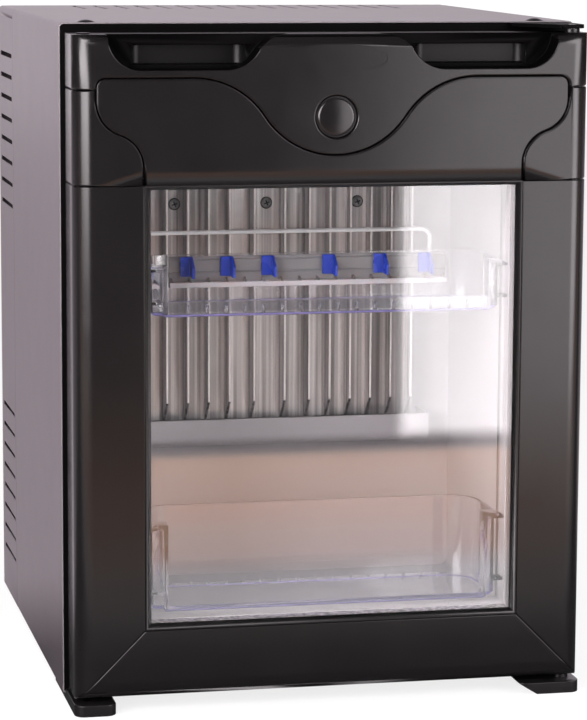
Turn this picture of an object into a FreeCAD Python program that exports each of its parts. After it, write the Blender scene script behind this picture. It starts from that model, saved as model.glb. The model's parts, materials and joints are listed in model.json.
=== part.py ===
import FreeCAD, Part
import math
import os

V = FreeCAD.Vector

# Hotel minibar fridge with a glazed door and an absorption cooling unit, in millimetres.
# The origin is on the floor, under the middle of the whole fridge. +X is to the right of a
# person who faces the door, +Y runs to the rear and +Z is up.

# How far a cutting body reaches past the face that it cuts
past = 1.0

# Cabinet
cabinet_width = 402.0
cabinet_height = 515.0
cabinet_depth = 392.0
rear_space = 100.0
sheet = 1.0
shell_corner = 4.0
foot_height = 6.0
side_wall = 37.0
floor_wall = 38.0
ceiling_wall = 37.0
rear_wall = 68.0
cavity_corner = 8.0
liner_thickness = 2.0
frame_depth = 8.0

# Vent slots of the rear panels
slot_height = 4.0
slot_pitch = 18.3
slot_margin = 8.0
slot_rear_margin = 14.0
slot_corner = 1.8
side_slots = 8
top_slots = 16
upper_slot_drop = 40.0
lower_slot_rise = 38.0
panel_flange = 12.0
panel_top_leg = 8.0

# Door
door_side_inset = 3.0
door_top_drop = 7.0
door_thickness = 45.0
door_gap = 12.0
door_lift = 6.5
door_edge_radius = 15.0
door_top_radius = 10.0
inner_plate = 4.0
inner_plate_inset = 6.0
inner_plate_clearance = 0.2
stile_width = 52.6
rail_height = 53.0
header_height = 111.0
seam = 0.4

# Groove and seams of the door header
groove_width = 3.4
groove_depth = 2.2
groove_outer_inset = 17.0
groove_shoulder_drop = 32.0
groove_shoulder_corner = 7.0
tongue_half_width = 108.0
tongue_drop = 90.2
corner_seam_drop = 40.5
sweep_top_drop = 49.0
sweep_bottom_rise = 12.5

# Finger grips
grip_inner = 36.0
grip_ramp_end = 84.0
grip_outer_inset = 26.0
grip_floor_drop = 26.0
grip_corner = 25.0
grip_depth = 20.0
pocket_inner = 66.0
pocket_outer_inset = 46.0
pocket_floor_rise = 3.0
pocket_height = 15.0
pocket_depth = 12.0
pocket_corner = 8.0

# Round lock blank and the bare oval seat on the door header
lock_radius = 14.0
lock_ring = 2.2
lock_drop = 61.6
lock_depth = 6.0
lock_dome = 1.2
oval_width = 78.0
oval_height = 21.0
oval_drop = 18.0
oval_depth = 0.8

# Double glazing
bead_side = 5.0
bead_top = 3.5
bead_setback = 0.6
bead_depth = 3.0
bead_lip = 1.2
glass_thickness = 3.0
glass_gap = 10.0
glass_clearance = 0.4
window_corner = 3.0

# Door gasket
gasket_inset = 8.0
gasket_width = 14.0
gasket_clearance = 0.5
gasket_foot = 4.0
gasket_waist = 3.5
gasket_waist_inset = 2.0
gasket_lip_inset = 0.5

# Hinges and feet
pin_inset = 10.0
pin_setback = 20.0
pin_radius = 3.0
pin_clearance = 0.05
pin_reach = 12.0
pin_seat = 3.0
bush_wall = 2.0
bush_collar = 1.0
bush_depth = 13.0
bush_seat_clearance = 0.1
hinge_plate_thickness = 3.0
hinge_plate_width = 48.0
hinge_plate_tail = 26.0
hinge_plate_nose = 20.0
hinge_plate_corner = 9.0
hinge_plate_bend = 5.0
hinge_running_gap = 0.4
foot_front_setback = 2.0
foot_front_height = 9.0
foot_tail = 60.0
foot_corner = 8.0
foot_width = 32.0
bracket_top_width = 50.0
bracket_foot_width = 33.0
foot_inset = 2.0
rear_foot_radius = 12.0
rear_foot_inset = 30.0
rear_foot_taper = 2.0
screw_radius = 2.5
screw_head_radius = 4.5
screw_head_height = 2.5
screw_length = 8.0
screw_recess = 0.5
plug_radius = 7.0
plug_height = 2.0
plug_left_inset = 22.0
plug_right_inset = 29.0
plug_setback = 10.0

# Evaporator and what hangs beside it
fin_first = 13.0
fin_second = 34.0
fin_pitch = 17.6
fin_thickness = 2.2
fin_height = 16.0
fin_chamfer = 18.0
fin_nose = 1.0
plate_thickness = 3.0
plate_margin = 5.0
plate_rise = 137.0
plate_side_gap = 37.0
plate_drop = 28.0
block_thickness = 15.0
block_margin = 45.0
block_height = 120.0
cold_screw_inset = 49.0
cold_screw_drop = 121.0
guard_wire = 3.6
guard_margin = 7.0
guard_standoff = 12.0
guard_drop = 142.0
guard_leg = 26.0
guard_bend = 8.0
tray_height = 23.0
tray_lap = 3.0
tray_lead = 5.0
tray_wall = 1.6
tray_corner = 9.0
tray_margin = 10.0
drain_radius = 5.0
drain_bore = 3.5
drain_clearance = 0.3
drain_inset = 37.0
drain_tail = 24.0

# Control box under the cavity ceiling
control_width = 120.0
control_depth = 60.0
control_height = 24.0
control_back_gap = 52.0
control_corner = 5.0
lens_width = 56.0
lens_height = 14.0
lens_depth = 3.0
lens_inset = 8.0
lens_stand = 1.0
knob_radius = 10.0
knob_height = 9.0
knob_gap = 0.4
knob_stem_radius = 3.0
knob_stem_length = 6.0
knob_inset = 22.0
knob_grip_width = 4.0
knob_grip_reach = 8.0
knob_skirt = 4.5
knob_taper = 1.0

# Door bins
bin_side_gap = 4.4
bin_glass_gap = 2.5
bin_depth = 80.0
bin_wall = 2.2
bin_floor = 2.5
bin_plan_corner = 25.0
bin_bottom_radius = 5.0
lower_bin_rise = 3.5
lower_bin_height = 68.0
lower_bin_lip = 5.0
lower_lug_rise = 14.0
upper_bin_drop = 98.5
upper_bin_height = 39.0
upper_bin_lip = 12.0
upper_lug_rise = 10.0
lug_width = 13.4
lug_setback = 1.0
lug_depth = 12.0
lug_clearance = 0.4
lug_seat_gap = 0.3
lug_corner = 4.0
lug_wall = 2.2
pocket_wall = 2.0
strip_thickness = 1.2
strip_drop = 1.5
rail_low_rise = 24.1
rail_high_rise = 34.0
rail_height_step = 1.2
rail_stand = 1.4
ledge_rise = 13.5
ledge_height = 4.1
ledge_stand = 6.0
gusset_pitch = 14.5
gusset_thickness = 2.0
gusset_height = 3.0
lower_gusset_reach = 2.5
clip_width = 10.0
clip_height = 15.2
clip_base = 3.0
clip_fin_length = 10.0
clip_fin_thickness = 2.4
clip_fin_drop = 1.0
clip_fin_round = 1.4
clip_clearance = 0.3
clip_left_insets = (13.7, 45.6, 78.2)
clip_right_insets = (95.1, 54.0, 17.5)

# Absorption unit in the rear space
unit_depth = 45.0
tube_radius = 9.0
boiler_radius = 32.0
boiler_drop = 185.0
boiler_rise = 70.0
boiler_inset = 88.0
boiler_chamfer = 8.0
vessel_radius = 28.0
vessel_clear = 46.0
vessel_rise = 46.0
vessel_inset = 46.0
vessel_dome = 14.0
coil_runs = 4
coil_pitch = 50.0
coil_rise = 120.0
coil_clear = 70.0
coil_inset = 62.0
coil_bend = 24.0
condenser_drop = 45.0
condenser_inset = 58.0
condenser_end = 17.5
condenser_fin_pitch = 11.0
condenser_fin_width = 46.0
condenser_fin_height = 56.0
condenser_fin_thickness = 1.0
pipe_bend = 28.0
exchanger_radius = 7.0
exchanger_bend = 15.0
strap_width = 24.0
strap_thickness = 1.5
strap_inset = 63.0
terminal_width = 58.0
terminal_height = 78.0
terminal_depth = 40.0
terminal_inset = 14.0
terminal_gap = 22.0
terminal_corner = 4.0
gland_radius = 8.0
gland_length = 16.0
gland_bore = 3.6
gland_taper = 2.0

# Places worked out from the sizes above
insulated_depth = cabinet_depth - rear_space
cavity_depth = insulated_depth - rear_wall
slot_length = rear_space - slot_margin - slot_rear_margin
overall_depth = door_thickness + door_gap + cabinet_depth
door_front = -overall_depth / 2
door_back = door_front + door_thickness
moulding_back = door_back - inner_plate
shell_front = door_back + door_gap
shell_seam = shell_front + insulated_depth
shell_back = shell_front + cabinet_depth
shell_bottom = foot_height
shell_top = shell_bottom + cabinet_height
half_width = cabinet_width / 2
inner_half = half_width - sheet
cavity_half = half_width - side_wall
cavity_bottom = shell_bottom + floor_wall
cavity_top = shell_top - ceiling_wall
cavity_back = shell_front + cavity_depth
frame_back = shell_front + frame_depth
back_plate_front = shell_seam - sheet

door_half = half_width - door_side_inset
door_bottom = shell_bottom + door_lift
door_top = shell_top - door_top_drop
header_bottom = door_top - header_height
opening_half = door_half - stile_width
opening_bottom = door_bottom + rail_height
window_half = opening_half - bead_side
window_bottom = opening_bottom + bead_side
window_top = header_bottom - bead_top
bead_front = door_front + bead_setback
glass_front = bead_front + bead_depth
glass_mid_front = glass_front + glass_thickness
glass_mid_back = glass_mid_front + glass_gap
glass_back = glass_mid_back + glass_thickness

pin_x = door_half - pin_inset
pin_y = door_front + pin_setback
hinge_plate_top_z = shell_top - sheet
hinge_plate_bottom = hinge_plate_top_z - hinge_plate_thickness
hinge_plate_right = inner_half - (shell_corner - sheet)
hinge_plate_left = hinge_plate_right - hinge_plate_width
foot_top = foot_front_height
foot_front = door_front + foot_front_setback

plate_half = cavity_half - plate_side_gap
cold_screw_spread = plate_half - cold_screw_inset
plate_back = cavity_back - block_thickness
plate_front = plate_back - plate_thickness
fin_front = plate_front - fin_height
plate_top = cavity_top - plate_drop
plate_bottom = cavity_bottom + plate_rise
tray_top = plate_bottom + tray_lap
tray_bottom = tray_top - tray_height
tray_front = fin_front - tray_lead
tray_half = plate_half + tray_margin
drain_x = drain_inset - tray_half
drain_z = tray_bottom + tray_wall + drain_radius
control_front = cavity_back - control_back_gap - control_depth

bin_half = window_half - bin_side_gap
bin_front = glass_back + bin_glass_gap
bin_back = bin_front + bin_depth
lower_bin_bottom = window_bottom + lower_bin_rise
upper_bin_bottom = window_top - upper_bin_drop
bin_reach = bin_half - bin_plan_corner
bin_wall_face = bin_back - bin_wall
rail_face = bin_wall_face - strip_thickness
lug_inner = window_half - lug_width
lug_front = bin_front + lug_setback
lug_back = lug_front + lug_depth

unit_y = shell_seam + unit_depth
boiler_x = half_width - boiler_inset
boiler_bottom = shell_bottom + boiler_rise
boiler_top = shell_top - boiler_drop
condenser_z = shell_top - condenser_drop
condenser_right = boiler_x - 2 * pipe_bend
condenser_left = condenser_inset - half_width
vessel_left = vessel_inset - half_width
vessel_right = boiler_x - boiler_radius - vessel_clear
vessel_z = shell_bottom + vessel_rise
coil_left = coil_inset - half_width
coil_right = boiler_x - boiler_radius - coil_clear
terminal_bottom = boiler_top + terminal_gap
terminal_right = inner_half - terminal_inset


def box(x0, x1, y0, y1, z0, z1):
    """Box between two corners."""
    return Part.makeBox(x1 - x0, y1 - y0, z1 - z0, V(x0, y0, z0))


def point(plane, a, b, level):
    """Point (a, b) on the plane xy, xz or yz, at a level along the third axis."""
    if plane == "xy":
        return V(a, b, level)
    if plane == "xz":
        return V(a, level, b)
    return V(level, a, b)


def normal(plane):
    """Unit vector square to a plane."""
    return {"xy": V(0, 0, 1), "xz": V(0, 1, 0), "yz": V(1, 0, 0)}[plane]


def rounded_wire(plane, corners, level):
    """Closed outline through corners (a, b, radius), each rounded by its radius."""
    edges = []
    start = None
    last = None
    count = len(corners)
    for i in range(count):
        a, b, radius = corners[i]
        here = V(a, b, 0)
        before = V(corners[i - 1][0], corners[i - 1][1], 0) - here
        after = V(corners[(i + 1) % count][0], corners[(i + 1) % count][1], 0) - here
        before.normalize()
        after.normalize()
        enter = here
        leave = here
        if radius > 0:
            half = before.getAngle(after) / 2
            enter = here + before * (radius / math.tan(half))
            leave = here + after * (radius / math.tan(half))
            middle = here + (before + after).normalize() * (radius / math.sin(half) - radius)
        if last is not None and (enter - last).Length > 1e-6:
            edges.append(line(plane, last, enter, level))
        if radius > 0:
            edges.append(arc(plane, enter, middle, leave, level))
        if start is None:
            start = enter
        last = leave
    if (start - last).Length > 1e-6:
        edges.append(line(plane, last, start, level))
    return Part.Wire(edges)


def line(plane, p, q, level):
    """Straight edge between two plane points."""
    return Part.LineSegment(point(plane, p.x, p.y, level), point(plane, q.x, q.y, level)).toShape()


def arc(plane, p, m, q, level):
    """Round edge from p over m to q."""
    ends = [point(plane, c.x, c.y, level) for c in (p, m, q)]
    return Part.Arc(ends[0], ends[1], ends[2]).toShape()


def tangent_arc(plane, p, direction, q, level):
    """Round edge that leaves p along a direction and ends at q."""
    chord = q - p
    side = V(-direction.y, direction.x, 0)
    radius = chord.Length ** 2 / (2 * chord.dot(side))
    centre = p + side * radius
    middle = ((p - centre) + (q - centre)).normalize() * abs(radius)
    return arc(plane, p, centre + middle, q, level)


def s_curve(plane, p, direction, q, level):
    """Two equal arcs from p to q that leave and arrive along the same direction."""
    middle = (p + q) * 0.5
    first = tangent_arc(plane, p, direction, middle, level)
    second = tangent_arc(plane, q, direction * -1, middle, level)
    return [first, second]


def slab(plane, corners, low, high):
    """Solid of a rounded outline between two levels."""
    face = Part.Face(rounded_wire(plane, corners, low))
    return face.extrude(normal(plane) * (high - low))


def rectangle(a0, a1, b0, b1, radius):
    """Corners of a rectangle with one radius all round."""
    return [(a0, b0, radius), (a1, b0, radius), (a1, b1, radius), (a0, b1, radius)]


def ring(plane, outer, inner, low, high):
    """Frame between two rectangles, each given as corners."""
    return slab(plane, outer, low, high).cut(slab(plane, inner, low - past, high + past))


def rod(radius, start, end):
    """Round bar between two points."""
    return Part.makeCylinder(radius, (end - start).Length, start, end - start)


def tube_path(points, bend):
    """Wire of straight runs joined by tangent arcs of one radius."""
    edges = []
    last = points[0]
    for i in range(1, len(points) - 1):
        back = (points[i - 1] - points[i]).normalize()
        ahead = (points[i + 1] - points[i]).normalize()
        half = back.getAngle(ahead) / 2
        enter = points[i] + back * (bend / math.tan(half))
        leave = points[i] + ahead * (bend / math.tan(half))
        middle = points[i] + (back + ahead).normalize() * (bend / math.sin(half) - bend)
        if (enter - last).Length > 1e-6:
            edges.append(Part.LineSegment(last, enter).toShape())
        edges.append(Part.Arc(enter, middle, leave).toShape())
        last = leave
    edges.append(Part.LineSegment(last, points[-1]).toShape())
    return Part.Wire(edges)


def bent_tube(points, bend, radius):
    """Round bar swept along straight runs and arcs."""
    path = tube_path(points, bend)
    along = points[1] - points[0]
    profile = Part.Wire([Part.makeCircle(radius, points[0], along)])
    return path.makePipeShell([profile], True, False)


def mirrored(shape):
    """Copy on the other side of the middle plane."""
    return shape.mirror(V(0, 0, 0), V(1, 0, 0))


def save(name, *shapes):
    """Write one node, as one solid or as a group of separate solids."""
    solids = []
    for shape in shapes:
        solids.extend(shape.Solids)
    whole = solids[0] if len(solids) == 1 else Part.makeCompound(solids)
    whole.exportStep("parts/" + name + ".step")


def shell_section(inset, radius):
    """Arch of the wrapper seen from the front, open at the bottom."""
    side = half_width - inset
    top = shell_top - inset
    return [(-side, shell_bottom, 0), (-side, top, radius), (side, top, radius), (side, shell_bottom, 0)]


def inside_section():
    """Outline of the space inside the wrapper, above the base pan."""
    low = shell_bottom + sheet
    top = shell_top - sheet
    radius = shell_corner - sheet
    return [(-inner_half, low, 0), (inner_half, low, 0), (inner_half, top, radius),
            (-inner_half, top, radius)]


def shell_sheet(front, back):
    """Bent sheet over the sides and the top."""
    outer = slab("xz", shell_section(0, shell_corner), front, back)
    section = shell_section(sheet, shell_corner - sheet)
    low = [(a, b - (past if b == shell_bottom else 0), r) for a, b, r in section]
    return outer.cut(slab("xz", low, front - past, back + past))


def plug_places():
    """Middles of the screw plugs on the top of the wrapper."""
    return [V(x, shell_front + plug_setback, shell_top)
            for x in (plug_left_inset - half_width, half_width - plug_right_inset)]


def wrapper():
    """Painted sheet over both sides and the top, with holes for the screw plugs."""
    body = shell_sheet(shell_front, shell_seam)
    for place in plug_places():
        body = body.cut(rod(plug_radius / 2, place - V(0, 0, 2 * sheet), place + V(0, 0, sheet)))
    return body


def plugs():
    """Domed plugs in the top of the wrapper."""
    made = []
    for base in plug_places():
        ball_radius = (plug_radius ** 2 + plug_height ** 2) / (2 * plug_height)
        ball = Part.makeSphere(ball_radius, base + V(0, 0, plug_height - ball_radius))
        dome = ball.common(rod(plug_radius, base, base + V(0, 0, 2 * plug_height)))
        stem = rod(plug_radius / 2 - pin_clearance, base - V(0, 0, sheet), base)
        made.append(dome.fuse(stem).removeSplitter())
    return made


def slot_rows():
    """Heights of the side slots, the upper group and then the lower one."""
    upper = [shell_top - upper_slot_drop - i * slot_pitch for i in range(side_slots)]
    lower = [shell_bottom + lower_slot_rise + i * slot_pitch for i in range(side_slots)]
    return upper + lower


def vent_panel_side():
    """Slotted sheet at the left of the cooling unit, with a flange along its rear edge."""
    top = shell_top - panel_top_leg
    body = box(-half_width, -inner_half, shell_seam, shell_back, shell_bottom, top)
    edge = -half_width + panel_flange
    flange_top = shell_top - panel_top_leg
    body = body.fuse(box(-half_width, edge, shell_back - sheet, shell_back, shell_bottom, flange_top))
    start = shell_seam + slot_margin
    cuts = []
    for z in slot_rows():
        corners = rectangle(start, start + slot_length, z - slot_height / 2, z + slot_height / 2, slot_corner)
        cuts.append(slab("yz", corners, -half_width - past, -inner_half + past))
    return body.cut(Part.makeCompound(cuts)).removeSplitter()


def vent_panel_top():
    """Slotted sheet above the cooling unit, bent down at both sides."""
    body = shell_sheet(shell_seam, shell_back)
    low = shell_top - panel_top_leg
    body = body.common(box(-half_width, half_width, shell_seam, shell_back, low, shell_top))
    start = shell_seam + slot_margin
    cuts = []
    for i in range(top_slots):
        x = (i - (top_slots - 1) / 2) * slot_pitch
        corners = rectangle(x - slot_height / 2, x + slot_height / 2, start, start + slot_length, slot_corner)
        cuts.append(slab("xy", corners, shell_top - 2 * sheet, shell_top + past))
    return body.cut(Part.makeCompound(cuts))


def liner_box(grow, front, back):
    """Block of the cavity, grown on all sides."""
    corners = rectangle(-cavity_half - grow, cavity_half + grow, cavity_bottom - grow, cavity_top + grow,
                        cavity_corner + grow)
    return slab("xz", corners, front, back)


def drain_hole():
    """Bore for the drain tube through the rear wall."""
    radius = drain_radius + drain_clearance
    mouth = V(drain_x, cavity_back - past, drain_z)
    return rod(radius, mouth, V(drain_x, shell_seam + past, drain_z))


def liner():
    """Plastic inner box, open at the front."""
    outer = liner_box(liner_thickness, frame_back, cavity_back + liner_thickness)
    inner = liner_box(0, frame_back - past, cavity_back)
    return outer.cut(inner).cut(drain_hole())


def insulation():
    """Foam between the sheets and the liner."""
    body = slab("xz", inside_section(), frame_back, back_plate_front)
    top = shell_top - sheet
    body = body.cut(liner_box(liner_thickness, frame_back - past, cavity_back + liner_thickness))
    hinge_end = shell_front + hinge_plate_tail
    body = body.cut(box(hinge_plate_left, inner_half, frame_back - past, hinge_end, hinge_plate_bottom, top))
    return body.cut(drain_hole())


def back_plate():
    """Sheet that closes the foam at the rear."""
    return slab("xz", inside_section(), back_plate_front, shell_seam).cut(drain_hole())


def base_pan():
    """Bottom sheet between the sides."""
    return box(-inner_half, inner_half, shell_front, shell_seam, shell_bottom, shell_bottom + sheet)


def front_frame():
    """Plastic frame between wrapper and liner, with the pocket for the upper hinge plate."""
    body = slab("xz", inside_section(), shell_front, frame_back)
    body = body.cut(liner_box(0, shell_front - past, frame_back + past))
    pocket = box(hinge_plate_left, inner_half, shell_front - past, frame_back + past, hinge_plate_bottom,
                 shell_top)
    return body.cut(pocket)


def fin_places():
    """Distances of the fins from the middle, on one side."""
    more = 1 + int((plate_half - plate_margin - fin_second) / fin_pitch)
    return [fin_first] + [fin_second + i * fin_pitch for i in range(more)]


def evaporator():
    """Extruded cold plate: a comb of fins in plan, cut on a slant at both ends."""
    body = box(-plate_half, plate_half, plate_front, plate_back, plate_bottom, plate_top)
    fins = []
    for x in fin_places():
        for side in (-1, 1):
            left = side * x - fin_thickness / 2
            right = side * x + fin_thickness / 2
            corners = [(left, plate_front, 0), (left, fin_front, fin_nose), (right, fin_front, fin_nose),
                       (right, plate_front, 0)]
            fins.append(slab("xy", corners, plate_bottom, plate_top))
    body = body.multiFuse(fins)
    for end, inward in ((plate_bottom, 1), (plate_top, -1)):
        outside = end - inward * past
        wedge = [(plate_front, end, 0), (fin_front - past, end + inward * fin_chamfer, 0),
                 (fin_front - past, outside, 0), (plate_front, outside, 0)]
        body = body.cut(slab("yz", wedge, -plate_half - past, plate_half + past))
    for x in (-cold_screw_spread, 0, cold_screw_spread):
        hole = V(x, plate_front - past, cavity_top - cold_screw_drop)
        body = body.cut(rod(screw_radius + pin_clearance, hole, hole + V(0, plate_thickness + 2 * past, 0)))
    return body.removeSplitter()


def cold_block():
    """Block that clamps the cold plate to the rear wall, bored for the screws."""
    middle = cavity_top - cold_screw_drop
    half = cold_screw_spread + block_margin / 2
    low = middle - block_height / 2
    corners = rectangle(-half, half, low, low + block_height, screw_head_radius)
    body = slab("xz", corners, plate_back, cavity_back)
    for x in (-cold_screw_spread, 0, cold_screw_spread):
        mouth = V(x, plate_back, middle)
        body = body.cut(rod(screw_radius + pin_clearance, mouth, mouth + V(0, screw_length, 0)))
    return body


def pan_screw(head, direction, length):
    """Screw with a domed head whose underside lies at a point, running along a direction."""
    out = direction * -1
    shank = rod(screw_radius, head, head + direction * length)
    ball_radius = (screw_head_radius ** 2 + screw_head_height ** 2) / (2 * screw_head_height)
    ball = Part.makeSphere(ball_radius, head + out * (screw_head_height - ball_radius))
    dome = ball.common(rod(screw_head_radius, head, head + out * 2 * screw_head_height))
    return dome.fuse(shank).removeSplitter()


def evaporator_screws():
    """Three screws through the cold plate."""
    z = cavity_top - cold_screw_drop
    heads = [V(x, plate_front, z) for x in (-cold_screw_spread, 0, cold_screw_spread)]
    return [pan_screw(head, V(0, 1, 0), screw_length) for head in heads]


def evaporator_guard():
    """Coated wire that keeps bottles off the fins, with both ends let into the rear wall."""
    half = plate_half + guard_margin
    high = cavity_top - guard_drop
    low = high - guard_leg
    front = fin_front - guard_standoff
    points = [V(-half, cavity_back, low), V(-half, front, low), V(-half, front, high), V(half, front, high),
              V(half, front, low), V(half, cavity_back, low)]
    return bent_tube(points, guard_bend, guard_wire / 2)


def drip_tray():
    """Trough under the fins, with a rounded front and a boss for the drain tube."""
    outer = [(tray_front, tray_top, 0), (tray_front, tray_bottom, tray_corner), (cavity_back, tray_bottom, 0),
             (cavity_back, tray_top, 0)]
    body = slab("yz", outer, -tray_half, tray_half)
    wall = tray_wall
    front = tray_front + wall
    back = cavity_back - wall
    floor = tray_bottom + wall
    inner = [(front, tray_top + past, 0), (front, floor, tray_corner - wall), (back, floor, 0),
             (back, tray_top + past, 0)]
    body = body.cut(slab("yz", inner, -tray_half + wall, tray_half - wall))
    mouth = V(drain_x, cavity_back - 2 * wall, drain_z)
    return body.cut(rod(drain_radius + drain_clearance, mouth, mouth + V(0, 3 * wall, 0)))


def drain_tube():
    """Tube that takes water from the trough out through the rear wall."""
    start = V(drain_x, cavity_back - tray_wall, drain_z)
    end = V(drain_x, shell_seam + drain_tail, drain_z)
    return rod(drain_radius, start, end).cut(rod(drain_bore, start - V(0, past, 0), end + V(0, past, 0)))


def control_box():
    """Housing of lamp and thermostat under the ceiling, rounded along its front."""
    low = cavity_top - control_height
    front = control_front
    back = front + control_depth
    profile = [(front, low, control_corner), (back, low, control_corner), (back, cavity_top, 0),
               (front, cavity_top, 0)]
    body = slab("yz", profile, -control_width / 2, control_width / 2)
    z = low + control_height / 2
    seat = box(-control_width / 2 + lens_inset, -control_width / 2 + lens_inset + lens_width, front - past,
               front + lens_depth, z - lens_height / 2, z + lens_height / 2)
    spindle = V(control_width / 2 - knob_inset, front - past, z)
    hole = rod(knob_stem_radius + pin_clearance, spindle, spindle + V(0, knob_stem_length + 2 * past, 0))
    return body.cut(seat).cut(hole)


def lamp_lens():
    """Lens let into the control box."""
    low = cavity_top - control_height
    z = low + control_height / 2
    left = -control_width / 2 + lens_inset
    corners = rectangle(left, left + lens_width, z - lens_height / 2, z + lens_height / 2, 0)
    return slab("xz", corners, control_front - lens_stand, control_front + lens_depth)


def thermostat_knob():
    """Round knob with a raised grip bar and a stem."""
    z = cavity_top - control_height / 2
    base = V(control_width / 2 - knob_inset, control_front - knob_gap, z)
    outward = V(0, -1, 0)
    skirt = Part.makeCone(knob_radius, knob_radius - knob_taper, knob_skirt, base, outward)
    half = knob_grip_width / 2
    bar = box(base.x - half, base.x + half, base.y - knob_height, base.y - knob_skirt, z - knob_grip_reach,
              z + knob_grip_reach)
    stem = rod(knob_stem_radius, base + V(0, knob_stem_length, 0), base)
    return skirt.multiFuse([bar, stem]).removeSplitter()


def foot_outline(left, right):
    """Plan of a front foot, rounded at its front corners."""
    back = shell_front + foot_tail
    return [(left, back, 0), (left, foot_front, foot_corner), (right, foot_front, foot_corner),
            (right, back, 0)]


def foot_body(left, right):
    """Front foot: low under the cabinet, higher in front of it."""
    body = slab("xy", foot_outline(left, right), 0, foot_top)
    back = shell_front + foot_tail + past
    return body.cut(box(left - past, right + past, shell_front, back, shell_bottom, foot_top + past))


def foot_screw_places(side):
    """Heads of the screws that hold a front foot, under the cabinet."""
    x = side * (half_width - foot_inset - foot_width / 2)
    step = foot_tail / 3
    return [V(x, shell_front + step * (i + 1), screw_head_height + screw_recess) for i in range(2)]


def screw_seat(head):
    """Counterbore and clearance hole for a screw driven upwards."""
    wide = rod(screw_head_radius + pin_clearance, V(head.x, head.y, -past), head)
    narrow = rod(screw_radius + pin_clearance, head, head + V(0, 0, screw_length + past))
    return wide.fuse(narrow)


def hinge_bracket_bottom():
    """Lower hinge bracket, which is also the right front foot."""
    right = half_width - foot_inset
    body = foot_body(right - bracket_top_width, right)
    slope = [(right - bracket_top_width - past, -past, 0), (right - bracket_foot_width, -past, 0),
             (right - bracket_top_width - past, foot_top + past, 0)]
    body = body.cut(slab("xz", slope, foot_front - past, shell_front + foot_tail + past))
    for head in foot_screw_places(1):
        body = body.cut(screw_seat(head))
    hole = rod(pin_radius + pin_clearance, V(pin_x, pin_y, pin_seat), V(pin_x, pin_y, foot_top + past))
    return body.cut(hole)


def foot_front_left():
    """Left front foot with the unused pin hole for a door hung on the left."""
    left = -half_width + foot_inset
    body = foot_body(left, left + foot_width)
    for head in foot_screw_places(-1):
        body = body.cut(screw_seat(head))
    hole = rod(pin_radius + pin_clearance, V(-pin_x, pin_y, pin_seat), V(-pin_x, pin_y, foot_top + past))
    return body.cut(hole)


def hinge_screws():
    """Screws under the front feet."""
    made = []
    for side in (-1, 1):
        for head in foot_screw_places(side):
            made.append(pan_screw(head, V(0, 0, 1), shell_bottom - head.z))
    return made


def rear_feet():
    """Two tapered feet under the rear of the base pan."""
    made = []
    for side in (-1, 1):
        base = V(side * (half_width - rear_foot_inset), shell_seam - rear_foot_inset, 0)
        made.append(Part.makeCone(rear_foot_radius - rear_foot_taper, rear_foot_radius, shell_bottom, base))
    return made


def hinge_plate():
    """Upper hinge plate, held under the wrapper and reaching over the door."""
    right = hinge_plate_right
    left = hinge_plate_left
    front = pin_y - pin_inset
    tail = shell_front + hinge_plate_tail
    corners = [(left, tail, 0), (left, shell_front - door_gap / 2, 0),
               (right - hinge_plate_nose, front, hinge_plate_bend), (right, front, hinge_plate_corner),
               (right, tail, 0)]
    body = slab("xy", corners, hinge_plate_bottom, hinge_plate_top_z)
    return body.cut(rod(pin_radius + pin_clearance, V(pin_x, pin_y, hinge_plate_bottom - past),
                        V(pin_x, pin_y, hinge_plate_top_z + past)))


def hinge_pins():
    """Lower and upper hinge pins on one axis."""
    lower = rod(pin_radius, V(pin_x, pin_y, pin_seat), V(pin_x, pin_y, door_bottom + pin_reach))
    upper = rod(pin_radius, V(pin_x, pin_y, door_top - pin_reach), V(pin_x, pin_y, hinge_plate_top_z))
    return [lower, upper]


def bush(mouth, into, stand):
    """Plastic bush let into the door, with a collar that stands off the door."""
    out = into * -1
    outer = pin_radius + pin_clearance + bush_wall
    sleeve = rod(outer, mouth, mouth + into * bush_depth)
    collar = rod(outer + bush_collar, mouth, mouth + out * stand)
    end = mouth + into * (pin_reach + hinge_running_gap)
    bore = rod(pin_radius + pin_clearance, mouth + out * (stand + past), end)
    return sleeve.fuse(collar).cut(bore).removeSplitter()


def bush_seat(mouth, into):
    """Hole for a bush in the door."""
    radius = pin_radius + pin_clearance + bush_wall + bush_seat_clearance
    return rod(radius, mouth - into * past, mouth + into * (bush_depth + bush_seat_clearance))


def hinge_bushes():
    """Bushes at the bottom and the top of the door."""
    low = bush(V(pin_x, pin_y, door_bottom), V(0, 0, 1), door_bottom - foot_top - hinge_running_gap)
    high = bush(V(pin_x, pin_y, door_top), V(0, 0, -1), hinge_plate_bottom - door_top - hinge_running_gap)
    return [low, high]


def hinge_hole_plug():
    """Blank in the unused upper bush hole at the left."""
    mouth = V(-pin_x, pin_y, door_top)
    radius = pin_radius + pin_clearance + bush_wall
    stem = rod(radius, mouth, mouth - V(0, 0, bush_depth))
    cap = Part.makeCone(radius + bush_collar, radius, bush_collar, mouth)
    return stem.fuse(cap).removeSplitter()


def door_section():
    """Plan of the door mouldings, with round outer edges."""
    return [(-door_half, door_back, 0), (-door_half, door_front, door_edge_radius),
            (door_half, door_front, door_edge_radius), (door_half, door_back, 0)]


def door_outline(inset, radius):
    """Front view of the door, drawn in on all sides."""
    return rectangle(inset - door_half, door_half - inset, door_bottom + inset, door_top - inset, radius)


def inner_plate_outline(grow):
    """Outline of the plate at the back of the door, grown on all sides."""
    return door_outline(inner_plate_inset - grow, window_corner)


def inner_plate_seat():
    """Recess for that plate in the back of the mouldings."""
    return slab("xz", inner_plate_outline(inner_plate_clearance), moulding_back, door_back + past)


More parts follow.
